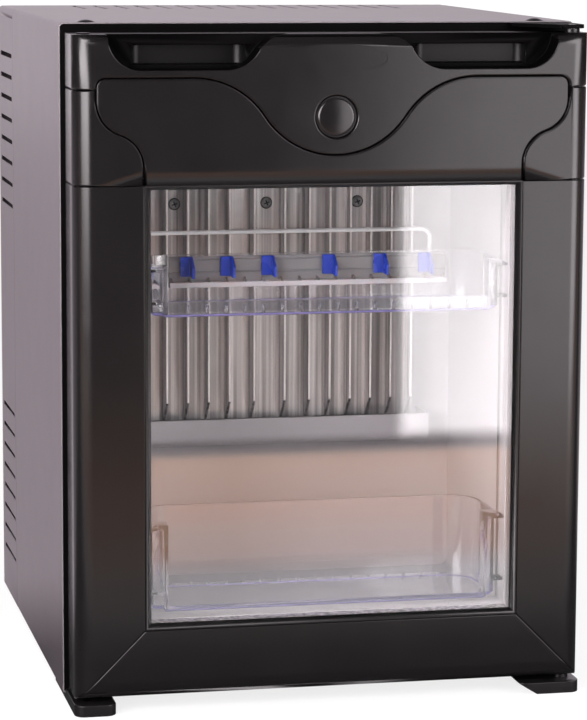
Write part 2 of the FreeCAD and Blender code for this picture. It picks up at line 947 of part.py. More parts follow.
def fascia_wire(level):
    """Closed outline of the fascia along the middle of the wavy groove, open below the header."""
    outer = door_half - groove_outer_inset
    shoulder = door_top - groove_shoulder_drop
    corner = groove_shoulder_corner
    sweep_top = door_top - sweep_top_drop
    sweep_bottom = header_bottom + sweep_bottom_rise
    below = header_bottom - header_height / 2
    edges = []
    feet = []
    for side in (-1, 1):
        tip = V(0, door_top - tongue_drop, 0)
        crest = V(side * tongue_half_width, shoulder, 0)
        turn = V(side * (outer - corner), shoulder, 0)
        fall = V(side * outer, shoulder - corner, 0)
        sweep = V(side * outer, sweep_top, 0)
        foot = V(side * opening_half, sweep_bottom, 0)
        end = V(side * opening_half, below, 0)
        along = V(side, 0, 0)
        edges.extend(s_curve("xz", tip, along, crest, level))
        edges.append(line("xz", crest, turn, level))
        edges.append(tangent_arc("xz", turn, along, fall, level))
        edges.append(line("xz", fall, sweep, level))
        edges.extend(s_curve("xz", sweep, V(0, -1, 0), foot, level))
        edges.append(line("xz", foot, end, level))
        feet.append(end)
    edges.append(line("xz", feet[0], feet[1], level))
    return Part.Wire(Part.__sortEdges__(edges))


def fascia_prism(grow, front, back):
    """Solid of the fascia outline, grown outwards, between two depths."""
    face = Part.Face(fascia_wire(front).makeOffset2D(grow))
    return face.extrude(V(0, back - front, 0))


def header_block():
    """Door front above the window, before it is divided into mouldings."""
    body = slab("xy", door_section(), header_bottom, door_top)
    profile = [(door_front, header_bottom, 0), (door_front, door_top, door_top_radius),
               (door_back, door_top, 0), (door_back, header_bottom, 0)]
    return body.common(slab("yz", profile, -door_half, door_half)).cut(inner_plate_seat())


def door_fascia():
    """Moulding between the wavy groove and the window."""
    body = header_block().common(fascia_prism(-seam / 2, door_front - past, door_back + past))
    floor = door_front + groove_depth
    rim = box(-door_half, door_half, door_front - past, floor, header_bottom - past, door_top + past)
    rim = rim.cut(fascia_prism(-groove_width / 2, door_front - 2 * past, floor + past))
    return body.cut(rim)


def header_frame():
    """Handle cap and both corner mouldings, in this order."""
    body = header_block().cut(fascia_prism(seam / 2, door_front - past, door_back + past))
    body = body.cut(fascia_prism(groove_width / 2, door_front - past, door_front + groove_depth))
    z = door_top - corner_seam_drop
    inner = door_half - groove_outer_inset - groove_width
    for side in (-1, 1):
        ends = sorted((side * inner, side * (door_half + past)))
        cut = box(ends[0], ends[1], door_front - past, door_back + past, z - seam / 2, z + seam / 2)
        body = body.cut(cut)
    pieces = sorted(body.Solids, key=lambda solid: solid.Volume)
    corners = sorted(pieces[:2], key=lambda solid: solid.CenterOfMass.x)
    return pieces[2], corners[0], corners[1]


def grip_cut():
    """Right finger grip: a scoop open at the top and a deeper pocket behind it."""
    floor = door_top - grip_floor_drop
    outer = door_half - grip_outer_inset
    above = door_top + past
    start = V(grip_inner, door_top, 0)
    ramp = V(grip_ramp_end, floor, 0)
    bend = V(outer - grip_corner, floor, 0)
    rise = V(outer, floor + grip_corner, 0)
    level = door_front - past
    edges = s_curve("xz", start, V(1, 0, 0), ramp, level)
    edges.append(line("xz", ramp, bend, level))
    edges.append(tangent_arc("xz", bend, V(1, 0, 0), rise, level))
    edges.append(line("xz", rise, V(outer, above, 0), level))
    edges.append(line("xz", V(outer, above, 0), V(grip_inner, above, 0), level))
    edges.append(line("xz", V(grip_inner, above, 0), start, level))
    face = Part.Face(Part.Wire(Part.__sortEdges__(edges)))
    scoop = face.extrude(V(0, grip_depth + past, 0))
    wall = door_front + grip_depth
    plan = [(pocket_inner, wall - past, 0), (pocket_inner, wall + pocket_depth, pocket_corner),
            (door_half - pocket_outer_inset, wall + pocket_depth, pocket_corner),
            (door_half - pocket_outer_inset, wall - past, 0)]
    low = floor + pocket_floor_rise
    return scoop.fuse(slab("xy", plan, low, low + pocket_height))


def lock_place():
    """Middle of the lock blank on the door front."""
    return V(0, door_front, door_top - lock_drop)


def oval_seat():
    """Shallow bare oval above the lock blank."""
    centre = V(0, door_front - past, door_top - oval_drop)
    ellipse = Part.Ellipse(centre, oval_width / 2, oval_height / 2)
    face = Part.Face(Part.Wire([ellipse.toShape()]))
    face.rotate(centre, V(1, 0, 0), 90)
    return face.extrude(V(0, oval_depth + past, 0))


def door_handle_cap(blank):
    """Top moulding with both grips, the seat of the lock blank and the hinge holes."""
    grip = grip_cut()
    body = blank.cut(grip).cut(mirrored(grip))
    spot = lock_place()
    body = body.cut(rod(lock_radius + lock_ring, spot - V(0, past, 0), spot + V(0, lock_depth, 0)))
    body = body.cut(oval_seat())
    for x in (-pin_x, pin_x):
        body = body.cut(bush_seat(V(x, pin_y, door_top), V(0, 0, -1)))
    return body


def lock_cap():
    """Round blank in the place of a lock: a slightly domed disc with a step round it, turned on its axis."""
    spot = lock_place()
    rim = lock_radius + lock_ring - seam
    outline = [V(lock_radius, lock_dome, 0), V(lock_radius, groove_depth, 0), V(rim, groove_depth, 0),
               V(rim, lock_depth, 0), V(0, lock_depth, 0), V(0, 0, 0)]
    places = [spot + step for step in outline]
    edges = [tangent_arc("xy", spot, V(1, 0, 0), places[0], spot.z)]
    for start, end in zip(places, places[1:]):
        edges.append(line("xy", start, end, spot.z))
    return Part.Face(Part.Wire(edges)).revolve(spot, V(0, 1, 0), 360)


def mitre(grow):
    """Front view of the bottom rail between its slanted ends, raised by a gap."""
    low = door_bottom - stile_width
    reach = opening_half + (door_half - opening_half) * (rail_height + stile_width) / rail_height
    corners = [(-reach, low + grow, 0), (reach, low + grow, 0), (opening_half, opening_bottom + grow, 0),
               (-opening_half, opening_bottom + grow, 0)]
    return slab("xz", corners, door_front - past, door_back + past)


def door_screw_places(side):
    """Heads of the inner frame screws along one stile."""
    x = side * (door_half - gasket_inset - gasket_width - 2 * screw_head_radius)
    low = opening_bottom + 2 * screw_head_radius
    high = header_bottom - 2 * screw_head_radius
    return [V(x, door_back, z) for z in (low, (low + high) / 2, high)]


def door_stile():
    """Left stile with a round outer edge, mitred at its foot."""
    corners = [(-door_half, door_back, 0), (-door_half, door_front, door_edge_radius),
               (-opening_half, door_front, 0), (-opening_half, door_back, 0)]
    body = slab("xy", corners, door_bottom, header_bottom - seam)
    body = body.cut(mitre(seam)).cut(inner_plate_seat())
    for place in door_screw_places(-1):
        tip = place - V(0, screw_length + screw_recess, 0)
        body = body.cut(rod(screw_radius + pin_clearance, place, tip))
    return body.Solids[0]


def door_bottom_rail():
    """Bottom rail with a round lower edge, mitred at both ends and bored for the bush."""
    corners = [(door_back, door_bottom, 0), (door_front, door_bottom, door_edge_radius),
               (door_front, opening_bottom, 0), (door_back, opening_bottom, 0)]
    body = slab("yz", corners, -door_half, door_half)
    return body.common(mitre(0)).cut(inner_plate_seat())


def window_outline(grow):
    """Rectangle of the visible window, grown on all sides."""
    return rectangle(-window_half - grow, window_half + grow, window_bottom - grow, window_top + grow, 0)


def opening_outline(shrink):
    """Rectangle inside stiles, bottom rail and header, drawn in on all sides."""
    half = opening_half - shrink
    return rectangle(-half, half, opening_bottom + shrink, header_bottom - shrink, 0)


def glazing_bead():
    """Black bead round the window, sloping in towards the glass."""
    body = slab("xz", opening_outline(glass_clearance / 2), bead_front, glass_front)
    front = Part.Wire(rounded_wire("xz", opening_outline(bead_lip), bead_front).Edges)
    back = Part.Wire(rounded_wire("xz", window_outline(0), glass_front).Edges)
    return body.cut(Part.makeLoft([front, back], True, True))


def pane(front):
    """One pane of the double glazing."""
    return slab("xz", opening_outline(glass_clearance), front, front + glass_thickness)


def glass_spacer():
    """Aluminium frame between the panes."""
    return ring("xz", opening_outline(glass_clearance), window_outline(0), glass_mid_front, glass_mid_back)


def lug(low, height):
    """Right lug on the window reveal that carries a bin: a thin moulded loop."""
    root = window_half + past
    top = low + height
    corners = [(lug_inner, low, lug_corner), (root, low, 0), (root, top, 0), (lug_inner, top, lug_corner)]
    inside = lug_inner + lug_wall
    radius = lug_corner - lug_wall
    hollow = [(inside, low + lug_wall, radius), (window_half, low + lug_wall, 0),
              (window_half, top - lug_wall, 0), (inside, top - lug_wall, radius)]
    return slab("xz", corners, lug_front, lug_back).cut(slab("xz", hollow, lug_front - past, lug_back + past))


def lug_height(bin_height, lug_rise):
    """Height of a lug that ends under the roof of its pocket."""
    return bin_height - lug_rise - pocket_wall - lug_seat_gap


def door_inner_frame():
    """Back of the door: a plate, a collar that holds the glass, and lugs for the bins."""
    plate = slab("xz", inner_plate_outline(0), moulding_back, door_back)
    collar = slab("xz", opening_outline(glass_clearance), glass_back, moulding_back)
    body = plate.fuse(collar).cut(slab("xz", window_outline(0), glass_back - past, door_back + past))
    lugs = [lug(lower_bin_bottom + lower_lug_rise, lug_height(lower_bin_height, lower_lug_rise)),
            lug(upper_bin_bottom + upper_lug_rise, lug_height(upper_bin_height, upper_lug_rise))]
    lugs = lugs + [mirrored(piece) for piece in lugs]
    body = body.multiFuse(lugs).removeSplitter()
    for side in (-1, 1):
        for place in door_screw_places(side):
            body = body.cut(rod(screw_radius + pin_clearance, place, place - V(0, inner_plate, 0)))
    return body


def door_gasket():
    """Seal with a broad foot on the door, a waist and a lip towards the cabinet."""
    depth = door_gap - gasket_clearance
    neck = gasket_foot + gasket_waist
    levels = ((0, 0, gasket_foot), (gasket_waist_inset, gasket_foot, neck), (gasket_lip_inset, neck, depth))
    body = None
    for shrink, low, high in levels:
        outer = door_outline(gasket_inset + shrink, window_corner)
        inner = door_outline(gasket_inset + gasket_width - shrink, window_corner)
        layer = ring("xz", outer, inner, door_back + low, door_back + high)
        body = layer if body is None else body.fuse(layer)
    return body.removeSplitter()


def door_screws():
    """Screws that hold the inner frame to the stiles."""
    places = door_screw_places(-1) + door_screw_places(1)
    return [pan_screw(place, V(0, -1, 0), screw_length) for place in places]


def bin_shell(bottom, height, lip):
    """Clear tray with walls at the rear and the sides, a low lip at the glass and rounded lower edges."""
    top = bottom + height
    corner = bin_plan_corner
    plan = [(-bin_half, bin_front, 0), (bin_half, bin_front, 0), (bin_half, bin_back, corner),
            (-bin_half, bin_back, corner)]
    outer = slab("xy", plan, bottom, top)
    lower_edges = [edge for edge in outer.Edges if edge.BoundBox.ZMax < bottom + 0.01]
    outer = outer.makeFillet(bin_bottom_radius, lower_edges)
    wall = bin_wall
    side = bin_half - wall
    inner_plan = [(-side, bin_front + wall, 0), (side, bin_front + wall, 0),
                  (side, bin_back - wall, corner - wall), (-side, bin_back - wall, corner - wall)]
    body = outer.cut(slab("xy", inner_plan, bottom + bin_floor, top + past))
    return body.cut(box(-side, side, bin_front - past, bin_front + wall, bottom + lip, top + past))


def lug_pocket(bottom, height):
    """Block at the right end of a bin whose hollow drops over a lug, and that hollow."""
    inner = lug_inner - lug_clearance
    back = lug_back + lug_clearance
    floor = bottom + bin_floor
    block = box(inner - pocket_wall, bin_half, bin_front, back + pocket_wall, floor, bottom + height)
    hollow = box(inner, bin_half + past, bin_front - past, back, bottom - past, bottom + height - pocket_wall)
    return block, hollow


def bin_body(bottom, height, lip):
    """Tray with a lug pocket at each end."""
    block, hollow = lug_pocket(bottom, height)
    body = bin_shell(bottom, height, lip)
    body = body.multiFuse([block, mirrored(block)])
    return body.cut(hollow).cut(mirrored(hollow))


def gusset_row(y, z, reach, rise):
    """Row of small triangular ribs that stand on a level and lean on a wall at y."""
    ribs = []
    count = 1 + int(2 * bin_reach / gusset_pitch)
    for i in range(count):
        x = (i - (count - 1) / 2) * gusset_pitch
        corners = [(y, z, 0), (y + reach, z, 0), (y, z + rise, 0)]
        ribs.append(slab("yz", corners, x - gusset_thickness / 2, x + gusset_thickness / 2))
    return ribs


def bin_upper():
    """Upper bin, a shallow tray with a ribbed lip."""
    body = bin_body(upper_bin_bottom, upper_bin_height, upper_bin_lip)
    floor = upper_bin_bottom + bin_floor
    ribs = gusset_row(bin_front + bin_wall, floor, ledge_stand, upper_bin_lip - 2 * bin_floor)
    return body.multiFuse(ribs).removeSplitter()


def clip_rail():
    """Milky strip on the rear wall of the upper bin: two rails for the clips and a ribbed ledge."""
    ledge = upper_bin_bottom + ledge_rise
    ledge_top = ledge + ledge_height
    top = upper_bin_bottom + upper_bin_height - strip_drop
    body = box(-bin_reach, bin_reach, rail_face, bin_wall_face, ledge, top)
    extra = [box(-bin_reach, bin_reach, rail_face - ledge_stand, rail_face, ledge, ledge_top)]
    for rise in (rail_low_rise, rail_high_rise):
        low = upper_bin_bottom + rise
        high = low + rail_height_step
        extra.append(box(-bin_reach, bin_reach, rail_face - rail_stand, rail_face, low, high))
    extra.extend(gusset_row(rail_face, ledge_top, -ledge_stand, gusset_height))
    return body.multiFuse(extra).removeSplitter()


def bin_lower():
    """Lower bin, a deep tray with small ribs along the foot of its rear wall."""
    body = bin_body(lower_bin_bottom, lower_bin_height, lower_bin_lip)
    ribs = gusset_row(bin_wall_face, lower_bin_bottom + bin_floor, -lower_gusset_reach, gusset_height)
    return body.multiFuse(ribs).removeSplitter()


def bottle_clip(x):
    """Clip that slides on the rails: a grooved head with a slanted fin towards the glass."""
    wall = rail_face
    gap = clip_clearance
    low = upper_bin_bottom + rail_low_rise
    high = upper_bin_bottom + rail_high_rise + rail_height_step
    middle = (low + high) / 2
    bottom = middle - clip_height / 2
    top = middle + clip_height / 2
    front = wall - gap - clip_base
    head = box(x - clip_width / 2, x + clip_width / 2, front, wall - gap, bottom, top)
    for z in (low, high - rail_height_step):
        head = head.cut(box(x - clip_width, x + clip_width, wall - gap - rail_stand, wall, z - gap,
                            z + rail_height_step + gap))
    right = x + clip_width / 2
    tip = front - clip_fin_length
    corners = [(front, top, 0), (tip, middle, clip_fin_round), (tip, bottom - clip_fin_drop, clip_fin_round),
               (front, bottom, 0)]
    fin = slab("yz", corners, right - clip_fin_thickness, right)
    return head.fuse(fin).removeSplitter()


def boiler_jacket():
    """Insulated boiler in its steel jacket, chamfered at both ends."""
    body = rod(boiler_radius, V(boiler_x, unit_y, boiler_bottom), V(boiler_x, unit_y, boiler_top))
    return body.makeChamfer(boiler_chamfer, [edge for edge in body.Edges if edge.Closed])


def rectifier_pipe():
    """Pipe from the boiler up and over to the condenser."""
    foot = V(boiler_x, unit_y, boiler_top)
    turn = V(boiler_x, unit_y, condenser_z)
    return bent_tube([foot, turn, V(condenser_right, unit_y, condenser_z)], pipe_bend, tube_radius)


def condenser():
    """Finned tube under the top vents."""
    body = rod(tube_radius, V(condenser_right, unit_y, condenser_z), V(condenser_left, unit_y, condenser_z))
    first = condenser_right - condenser_end
    count = 1 + int((first - condenser_left - condenser_end) / condenser_fin_pitch)
    fins = []
    for i in range(count):
        x = first - i * condenser_fin_pitch
        fins.append(box(x - condenser_fin_thickness / 2, x + condenser_fin_thickness / 2,
                        unit_y - condenser_fin_width / 2, unit_y + condenser_fin_width / 2,
                        condenser_z - condenser_fin_height / 2, condenser_z + condenser_fin_height / 2))
    return body.multiFuse(fins)


def absorber_coil():
    """Winding tube between the vessel and the evaporator, which it enters through the back plate."""
    points = [V(coil_right, unit_y, vessel_z + vessel_radius)]
    for i in range(coil_runs):
        z = shell_bottom + coil_rise + i * coil_pitch
        near = coil_right if i % 2 == 0 else coil_left
        far = coil_left if i % 2 == 0 else coil_right
        points.append(V(near, unit_y, z))
        points.append(V(far, unit_y, z))
    last = points[-1]
    points.append(V(last.x, unit_y, last.z + coil_pitch))
    points.append(V(last.x, shell_seam, last.z + coil_pitch))
    return bent_tube(points, coil_bend, tube_radius)


def absorber_vessel():
    """Horizontal vessel with domed ends under the coil."""
    body = rod(vessel_radius, V(vessel_left, unit_y, vessel_z), V(vessel_right, unit_y, vessel_z))
    return body.makeFillet(vessel_dome, [edge for edge in body.Edges if edge.Closed])


def exchanger_pipe():
    """Pipe from the vessel to the foot of the boiler."""
    start = V(vessel_right, unit_y, vessel_z)
    turn = V(boiler_x, unit_y, vessel_z)
    return bent_tube([start, turn, V(boiler_x, unit_y, boiler_bottom)], exchanger_bend, exchanger_radius)


def unit_straps():
    """Sheet straps that hold the vessel, the boiler and the condenser to the back plate."""
    places = ((vessel_left + strap_inset, vessel_z, vessel_radius),
              (boiler_x, (boiler_bottom + boiler_top) / 2, boiler_radius))
    made = []
    for x, z, radius in places:
        made.append(box(x - strap_width / 2, x + strap_width / 2, shell_seam, unit_y - radius,
                        z - strap_thickness / 2, z + strap_thickness / 2))
    right = condenser_right - tube_radius
    made.append(box(right - strap_thickness, right, shell_seam, unit_y - tube_radius,
                    condenser_z - strap_width / 2, condenser_z + strap_width / 2))
    return made


def terminal_box():
    """Plastic box for the electrical connections on the back plate."""
    corners = rectangle(terminal_right - terminal_width, terminal_right, terminal_bottom,
                        terminal_bottom + terminal_height, terminal_corner)
    return slab("xz", corners, shell_seam, shell_seam + terminal_depth)


def mains_gland():
    """Tapered gland under the terminal box, with an empty bore."""
    top = V(terminal_right - terminal_width / 2, shell_seam + terminal_depth / 2, terminal_bottom)
    body = Part.makeCone(gland_radius, gland_radius - gland_taper, gland_length, top, V(0, 0, -1))
    return body.cut(rod(gland_bore, top - V(0, 0, gland_length + past), top - V(0, 0, gland_length / 3)))


def build():
    """Make every node and write it."""
    os.makedirs("parts", exist_ok=True)
    save("wrapper", wrapper())
    left_panel = vent_panel_side()
    save("vent_panel_left", left_panel)
    save("vent_panel_right", mirrored(left_panel))
    save("vent_panel_top", vent_panel_top())
    save("base_pan", base_pan())
    save("back_plate", back_plate())
    save("insulation", insulation())
    save("liner", liner())
    save("front_frame", front_frame())
    save("screw_plugs", *plugs())
    save("evaporator", evaporator())
    save("cold_block", cold_block())
    save("evaporator_screws", *evaporator_screws())
    save("evaporator_guard", evaporator_guard())
    save("drip_tray", drip_tray())
    save("drain_tube", drain_tube())
    save("control_box", control_box())
    save("lamp_lens", lamp_lens())
    save("thermostat_knob", thermostat_knob())
    save("hinge_plate_top", hinge_plate())
    save("hinge_bracket_bottom", hinge_bracket_bottom())
    save("foot_front_left", foot_front_left())
    save("hinge_screws", *hinge_screws())
    save("hinge_pins", *hinge_pins())
    save("rear_feet", *rear_feet())
    save("boiler_jacket", boiler_jacket())
    save("rectifier_pipe", rectifier_pipe())
    save("condenser", condenser())
    save("absorber_coil", absorber_coil())
    save("absorber_vessel", absorber_vessel())
    save("exchanger_pipe", exchanger_pipe())
    save("unit_straps", *unit_straps())
    save("terminal_box", terminal_box())
    save("mains_gland", mains_gland())
    cap, corner_left, corner_right = header_frame()
    save("door_handle_cap", door_handle_cap(cap))
    save("door_corner_left", corner_left)
    save("door_corner_right", corner_right)
    save("door_fascia", door_fascia())
    stile = door_stile()
    seat = bush_seat(V(pin_x, pin_y, door_bottom), V(0, 0, 1))
    save("door_stile_left", stile)
    save("door_stile_right", mirrored(stile).cut(seat))
    save("door_bottom_rail", door_bottom_rail().cut(seat))
    save("door_inner_frame", door_inner_frame())
    save("glazing_bead", glazing_bead())
    save("glass_outer", pane(glass_front))
    save("glass_inner", pane(glass_mid_back))
    save("glass_spacer", glass_spacer())
    save("door_gasket", door_gasket())
    save("door_screws", *door_screws())
    save("lock_cap", lock_cap())
    save("hinge_bushes", *hinge_bushes())
    save("hinge_hole_plug", hinge_hole_plug())
    save("bin_lower", bin_lower())
    save("bin_upper", bin_upper())
    save("clip_rail", clip_rail())
    places = [inset - bin_reach for inset in clip_left_insets]
    places += [bin_reach - inset for inset in clip_right_insets]
    for number, x in enumerate(places, 1):
        save("bottle_clip_" + str(number), bottle_clip(x))


build()
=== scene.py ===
# %% [markdown]
# # A hotel minibar fridge with a glazed door
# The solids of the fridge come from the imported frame, already at their real size and place. Here they
# get their looks: moulded edges that catch light, finishes with grain and handling marks, clear glass,
# and a small studio. Everything is in metres. +X is right of a person who faces the door, +Y is the
# rear and +Z is up.

# %% Load the frame
import json
import math

import bmesh
import bpy
from mathutils import Matrix, Vector


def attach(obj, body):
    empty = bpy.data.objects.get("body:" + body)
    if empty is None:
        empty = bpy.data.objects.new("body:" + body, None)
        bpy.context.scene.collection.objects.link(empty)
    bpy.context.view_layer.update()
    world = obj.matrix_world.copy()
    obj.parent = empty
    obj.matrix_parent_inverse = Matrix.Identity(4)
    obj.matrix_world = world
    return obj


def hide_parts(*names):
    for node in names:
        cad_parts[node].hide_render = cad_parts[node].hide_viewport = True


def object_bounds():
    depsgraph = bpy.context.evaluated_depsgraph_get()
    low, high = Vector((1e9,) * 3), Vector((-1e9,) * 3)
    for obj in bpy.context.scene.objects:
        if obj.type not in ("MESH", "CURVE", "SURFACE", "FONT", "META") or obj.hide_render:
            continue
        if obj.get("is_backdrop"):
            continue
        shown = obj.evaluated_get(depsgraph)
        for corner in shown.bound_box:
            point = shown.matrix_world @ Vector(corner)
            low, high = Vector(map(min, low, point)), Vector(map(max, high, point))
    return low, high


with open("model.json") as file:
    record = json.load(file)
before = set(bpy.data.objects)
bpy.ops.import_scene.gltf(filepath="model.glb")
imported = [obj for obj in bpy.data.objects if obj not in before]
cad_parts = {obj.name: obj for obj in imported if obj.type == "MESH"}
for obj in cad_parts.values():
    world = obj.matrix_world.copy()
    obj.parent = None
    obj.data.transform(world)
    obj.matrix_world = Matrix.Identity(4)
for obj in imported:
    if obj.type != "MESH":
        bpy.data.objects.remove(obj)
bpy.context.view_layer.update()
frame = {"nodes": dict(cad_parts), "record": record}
scene = bpy.context.scene
record = frame["record"]
body_of = {node: body for body, nodes in record["behaviour"]["bodies"].items() for node in nodes}
slot_of = {part["node"]: part["material_slot"] for part in record["subparts"]}

# %% [markdown]
# ## The camera
# A long lens just above the height of the fridge's top looks a little to the right and down, so the
# left side and a sliver of the top show. The three turns are put together as matrices, in the order
# roll, tilt and heading, because Euler angles in the editor mix them up easily.

# %% Camera
camera_place = Vector((-0.5001, -2.3956, 0.6067))
camera_heading = math.radians(12.16)
camera_tilt = math.radians(8.625)
camera_roll = math.radians(0.28)
focal_pixels = 2981.5
image_height = 720
sensor = 36.0

camera = bpy.data.objects.new("camera", bpy.data.cameras.new("camera"))
scene.collection.objects.link(camera)
camera.data.sensor_width = sensor
camera.data.lens = focal_pixels * sensor / image_height
heading = Matrix.Rotation(-camera_heading, 4, "Z")
tilt = Matrix.Rotation(math.pi / 2 - camera_tilt, 4, "X")
camera.matrix_world = Matrix.Translation(camera_place) @ heading @ tilt @ Matrix.Rotation(camera_roll, 4, "Z")
scene.camera = camera
scene.view_settings.view_transform = "Standard"
print("lens", round(camera.data.lens, 2), "mm")

# %% [markdown]
# ## Variation that every finish shares
# No real surface has one colour and one gloss all over. One node group makes a slow drift of tone, a
# cloud of handling marks in the gloss, and a fine grain for a Bump node. Each material sets its own
# amounts, so the group is built once and reads Object coordinates, which are metres here.


# %% Surface variation group
def node(tree, kind, **values):
    """New node with some of its settings."""
    made = tree.nodes.new(kind)
    for name, value in values.items():
        setattr(made, name, value)
    return made


noise_middle = 0.5


def surface_variation():
    """Group that varies colour and roughness and gives a grain height."""
    group = bpy.data.node_groups.new("surface_variation", "ShaderNodeTree")
    sockets = {"INPUT": ("Color", "Tone", "Roughness", "Smudge", "Grain Scale"),
               "OUTPUT": ("Color", "Roughness", "Height")}
    for side, names in sockets.items():
        for name in names:
            kind = "NodeSocketColor" if name == "Color" else "NodeSocketFloat"
            group.interface.new_socket(name=name, in_out=side, socket_type=kind)
    link = group.links.new
    given = node(group, "NodeGroupInput")
    out = node(group, "NodeGroupOutput")
    place = node(group, "ShaderNodeTexCoord")
    drift = node(group, "ShaderNodeTexNoise")
    drift.inputs["Scale"].default_value = 7.0
    drift.inputs["Detail"].default_value = 3.0
    marks = node(group, "ShaderNodeTexNoise")
    marks.inputs["Scale"].default_value = 38.0
    marks.inputs["Detail"].default_value = 6.0
    grain = node(group, "ShaderNodeTexNoise")
    grain.inputs["Detail"].default_value = 2.0
    for texture in (drift, marks, grain):
        link(place.outputs["Object"], texture.inputs["Vector"])
    link(given.outputs["Grain Scale"], grain.inputs["Scale"])
    swing = node(group, "ShaderNodeMath", operation="SUBTRACT")
    swing.inputs[1].default_value = noise_middle
    link(drift.outputs["Fac"], swing.inputs[0])
    shift = node(group, "ShaderNodeMath", operation="MULTIPLY_ADD")
    shift.inputs[2].default_value = 1.0
    link(swing.outputs[0], shift.inputs[0])
    link(given.outputs["Tone"], shift.inputs[1])
    toned = node(group, "ShaderNodeVectorMath", operation="SCALE")
    link(given.outputs["Color"], toned.inputs[0])
    link(shift.outputs[0], toned.inputs["Scale"])
    link(toned.outputs[0], out.inputs["Color"])
    cloud = node(group, "ShaderNodeMath", operation="SUBTRACT")
    cloud.inputs[1].default_value = noise_middle
    link(marks.outputs["Fac"], cloud.inputs[0])
    rough = node(group, "ShaderNodeMath", operation="MULTIPLY_ADD", use_clamp=True)
    link(cloud.outputs[0], rough.inputs[0])
    link(given.outputs["Smudge"], rough.inputs[1])
    link(given.outputs["Roughness"], rough.inputs[2])
    link(rough.outputs[0], out.inputs["Roughness"])
    link(grain.outputs["Fac"], out.inputs["Height"])
    return group


variation = surface_variation()
print("group", variation.name, [item.name for item in variation.interface.items_tree])


# %% [markdown]
# ## Finishes
# The helper below makes a Principled material whose colour, gloss and grain come from the group.
# Numbers that are the same all over, such as Metallic and the specular level, are typed on the shader
# itself.


# %% Opaque finish helper
def opaque(name, colour, roughness, tone=0.12, smudge=0.12, grain_scale=900.0, grain_depth=0.00005, **plain):
    """Material with varied colour, gloss and grain; plain sets sockets that stay the same all over."""
    material = bpy.data.materials.new(name)
    material.use_nodes = True
    tree = material.node_tree
    shader = tree.nodes["Principled BSDF"]
    vary = node(tree, "ShaderNodeGroup", node_tree=variation)
    vary.inputs["Color"].default_value = (*colour, 1.0)
    vary.inputs["Tone"].default_value = tone
    vary.inputs["Roughness"].default_value = roughness
    vary.inputs["Smudge"].default_value = smudge
    vary.inputs["Grain Scale"].default_value = grain_scale
    bump = node(tree, "ShaderNodeBump")
    bump.inputs["Strength"].default_value = 0.6
    bump.inputs["Distance"].default_value = grain_depth
    tree.links.new(vary.outputs["Color"], shader.inputs["Base Color"])
    tree.links.new(vary.outputs["Roughness"], shader.inputs["Roughness"])
    tree.links.new(vary.outputs["Height"], bump.inputs["Height"])
    tree.links.new(bump.outputs["Normal"], shader.inputs["Normal"])
    for socket, value in plain.items():
        shader.inputs[socket.replace("_", " ")].default_value = value
    return material


# %% [markdown]
# The cabinet is sheet steel with a satin powder coat, dark brown grey: fine orange peel, a wide soft
# gloss. The door is moulded in black plastic with an even finer grain. The inside is light grey
# plastic, smooth as a vacuum-formed liner is.

# %% Paint and plastics
finishes = {
    "shell_paint": opaque("shell_paint", (0.040, 0.031, 0.036), 0.34, tone=0.06, smudge=0.03,
                          grain_scale=420.0, grain_depth=0.00003, Specular_Tint=(1.0, 0.90, 0.97, 1.0)),
    # Lighter grey for the front edge of the sheet: its bare cut edge, and a painted highlight for the light
    # it catches.
    "bare_edge_and_highlight": opaque("bare_edge_and_highlight", (0.13, 0.120, 0.127), 0.45, tone=0.2, grain_scale=900.0),
    "door_plastic": opaque("door_plastic", (0.0040, 0.0036, 0.0038), 0.22, grain_scale=1500.0,
                           Specular_IOR_Level=0.32),
    "trim_plastic": opaque("trim_plastic", (0.0045, 0.0042, 0.0043), 0.34, grain_scale=1100.0,
                           Specular_IOR_Level=0.30),
    # Near black with almost no gloss: painted shade inside the grips, in the gap round the door, in the screw
    # recesses and round the evaporator screw heads, and the real black of the thermostat dots and the top
    # hinge plate.
    "matt_black_and_painted_shade": opaque("matt_black_and_painted_shade", (0.0009, 0.0008, 0.0009), 0.55, grain_scale=700.0,
                           grain_depth=0.0001, Specular_IOR_Level=0.03),
    # Darker and duller than the door's plastic: painted shade in the finger pockets, less dark than in the
    # rest of the grips.
    "pocket_painted_shade": opaque("pocket_painted_shade", (0.0015, 0.0014, 0.0015), 0.40, grain_scale=700.0,
                             Specular_IOR_Level=0.15),
    "liner_plastic": opaque("liner_plastic", (0.42, 0.392, 0.402), 0.32, tone=0.05, grain_scale=300.0),
    "clip_plastic": opaque("clip_plastic", (0.0003, 0.018, 0.26), 0.28, tone=0.06),
    "milky_plastic": opaque("milky_plastic", (0.115, 0.104, 0.110), 0.30, tone=0.05, Subsurface_Weight=0.2),
    # A whiter copy of the rail's milky plastic: painted light on the ledge, which catches light from above.
    "ledge_painted_light": opaque("ledge_painted_light", (0.30, 0.272, 0.284), 0.30, tone=0.05, Subsurface_Weight=0.2),
    "white_wire": opaque("white_wire", (0.93, 0.92, 0.92), 0.28, tone=0.05, grain_scale=500.0),
    "seal_rubber": opaque("seal_rubber", (0.014, 0.013, 0.013), 0.62, grain_scale=1300.0),
    "unit_paint": opaque("unit_paint", (0.016, 0.016, 0.017), 0.42, tone=0.3, grain_scale=260.0,
                         grain_depth=0.0002),
    "foam": opaque("foam", (0.74, 0.62, 0.36), 0.85, tone=0.25, grain_scale=700.0, grain_depth=0.0003),
}
print("plain finishes", sorted(finishes))

# %% [markdown]
# ## Metals
# Extruded aluminium carries faint die lines along its length and wider streaks of tone, and zinc-plated
# steel a cloudy spangle. Both use the same helper with Metallic at one. Lines and streaks come from
# noise that is squeezed across the fins and stretched along them. The lines feed the bump and the
# streaks darken and lighten the colour.


# %% Metals
line_stretch = 400
streak_width = 8
streak_stretch = 1500


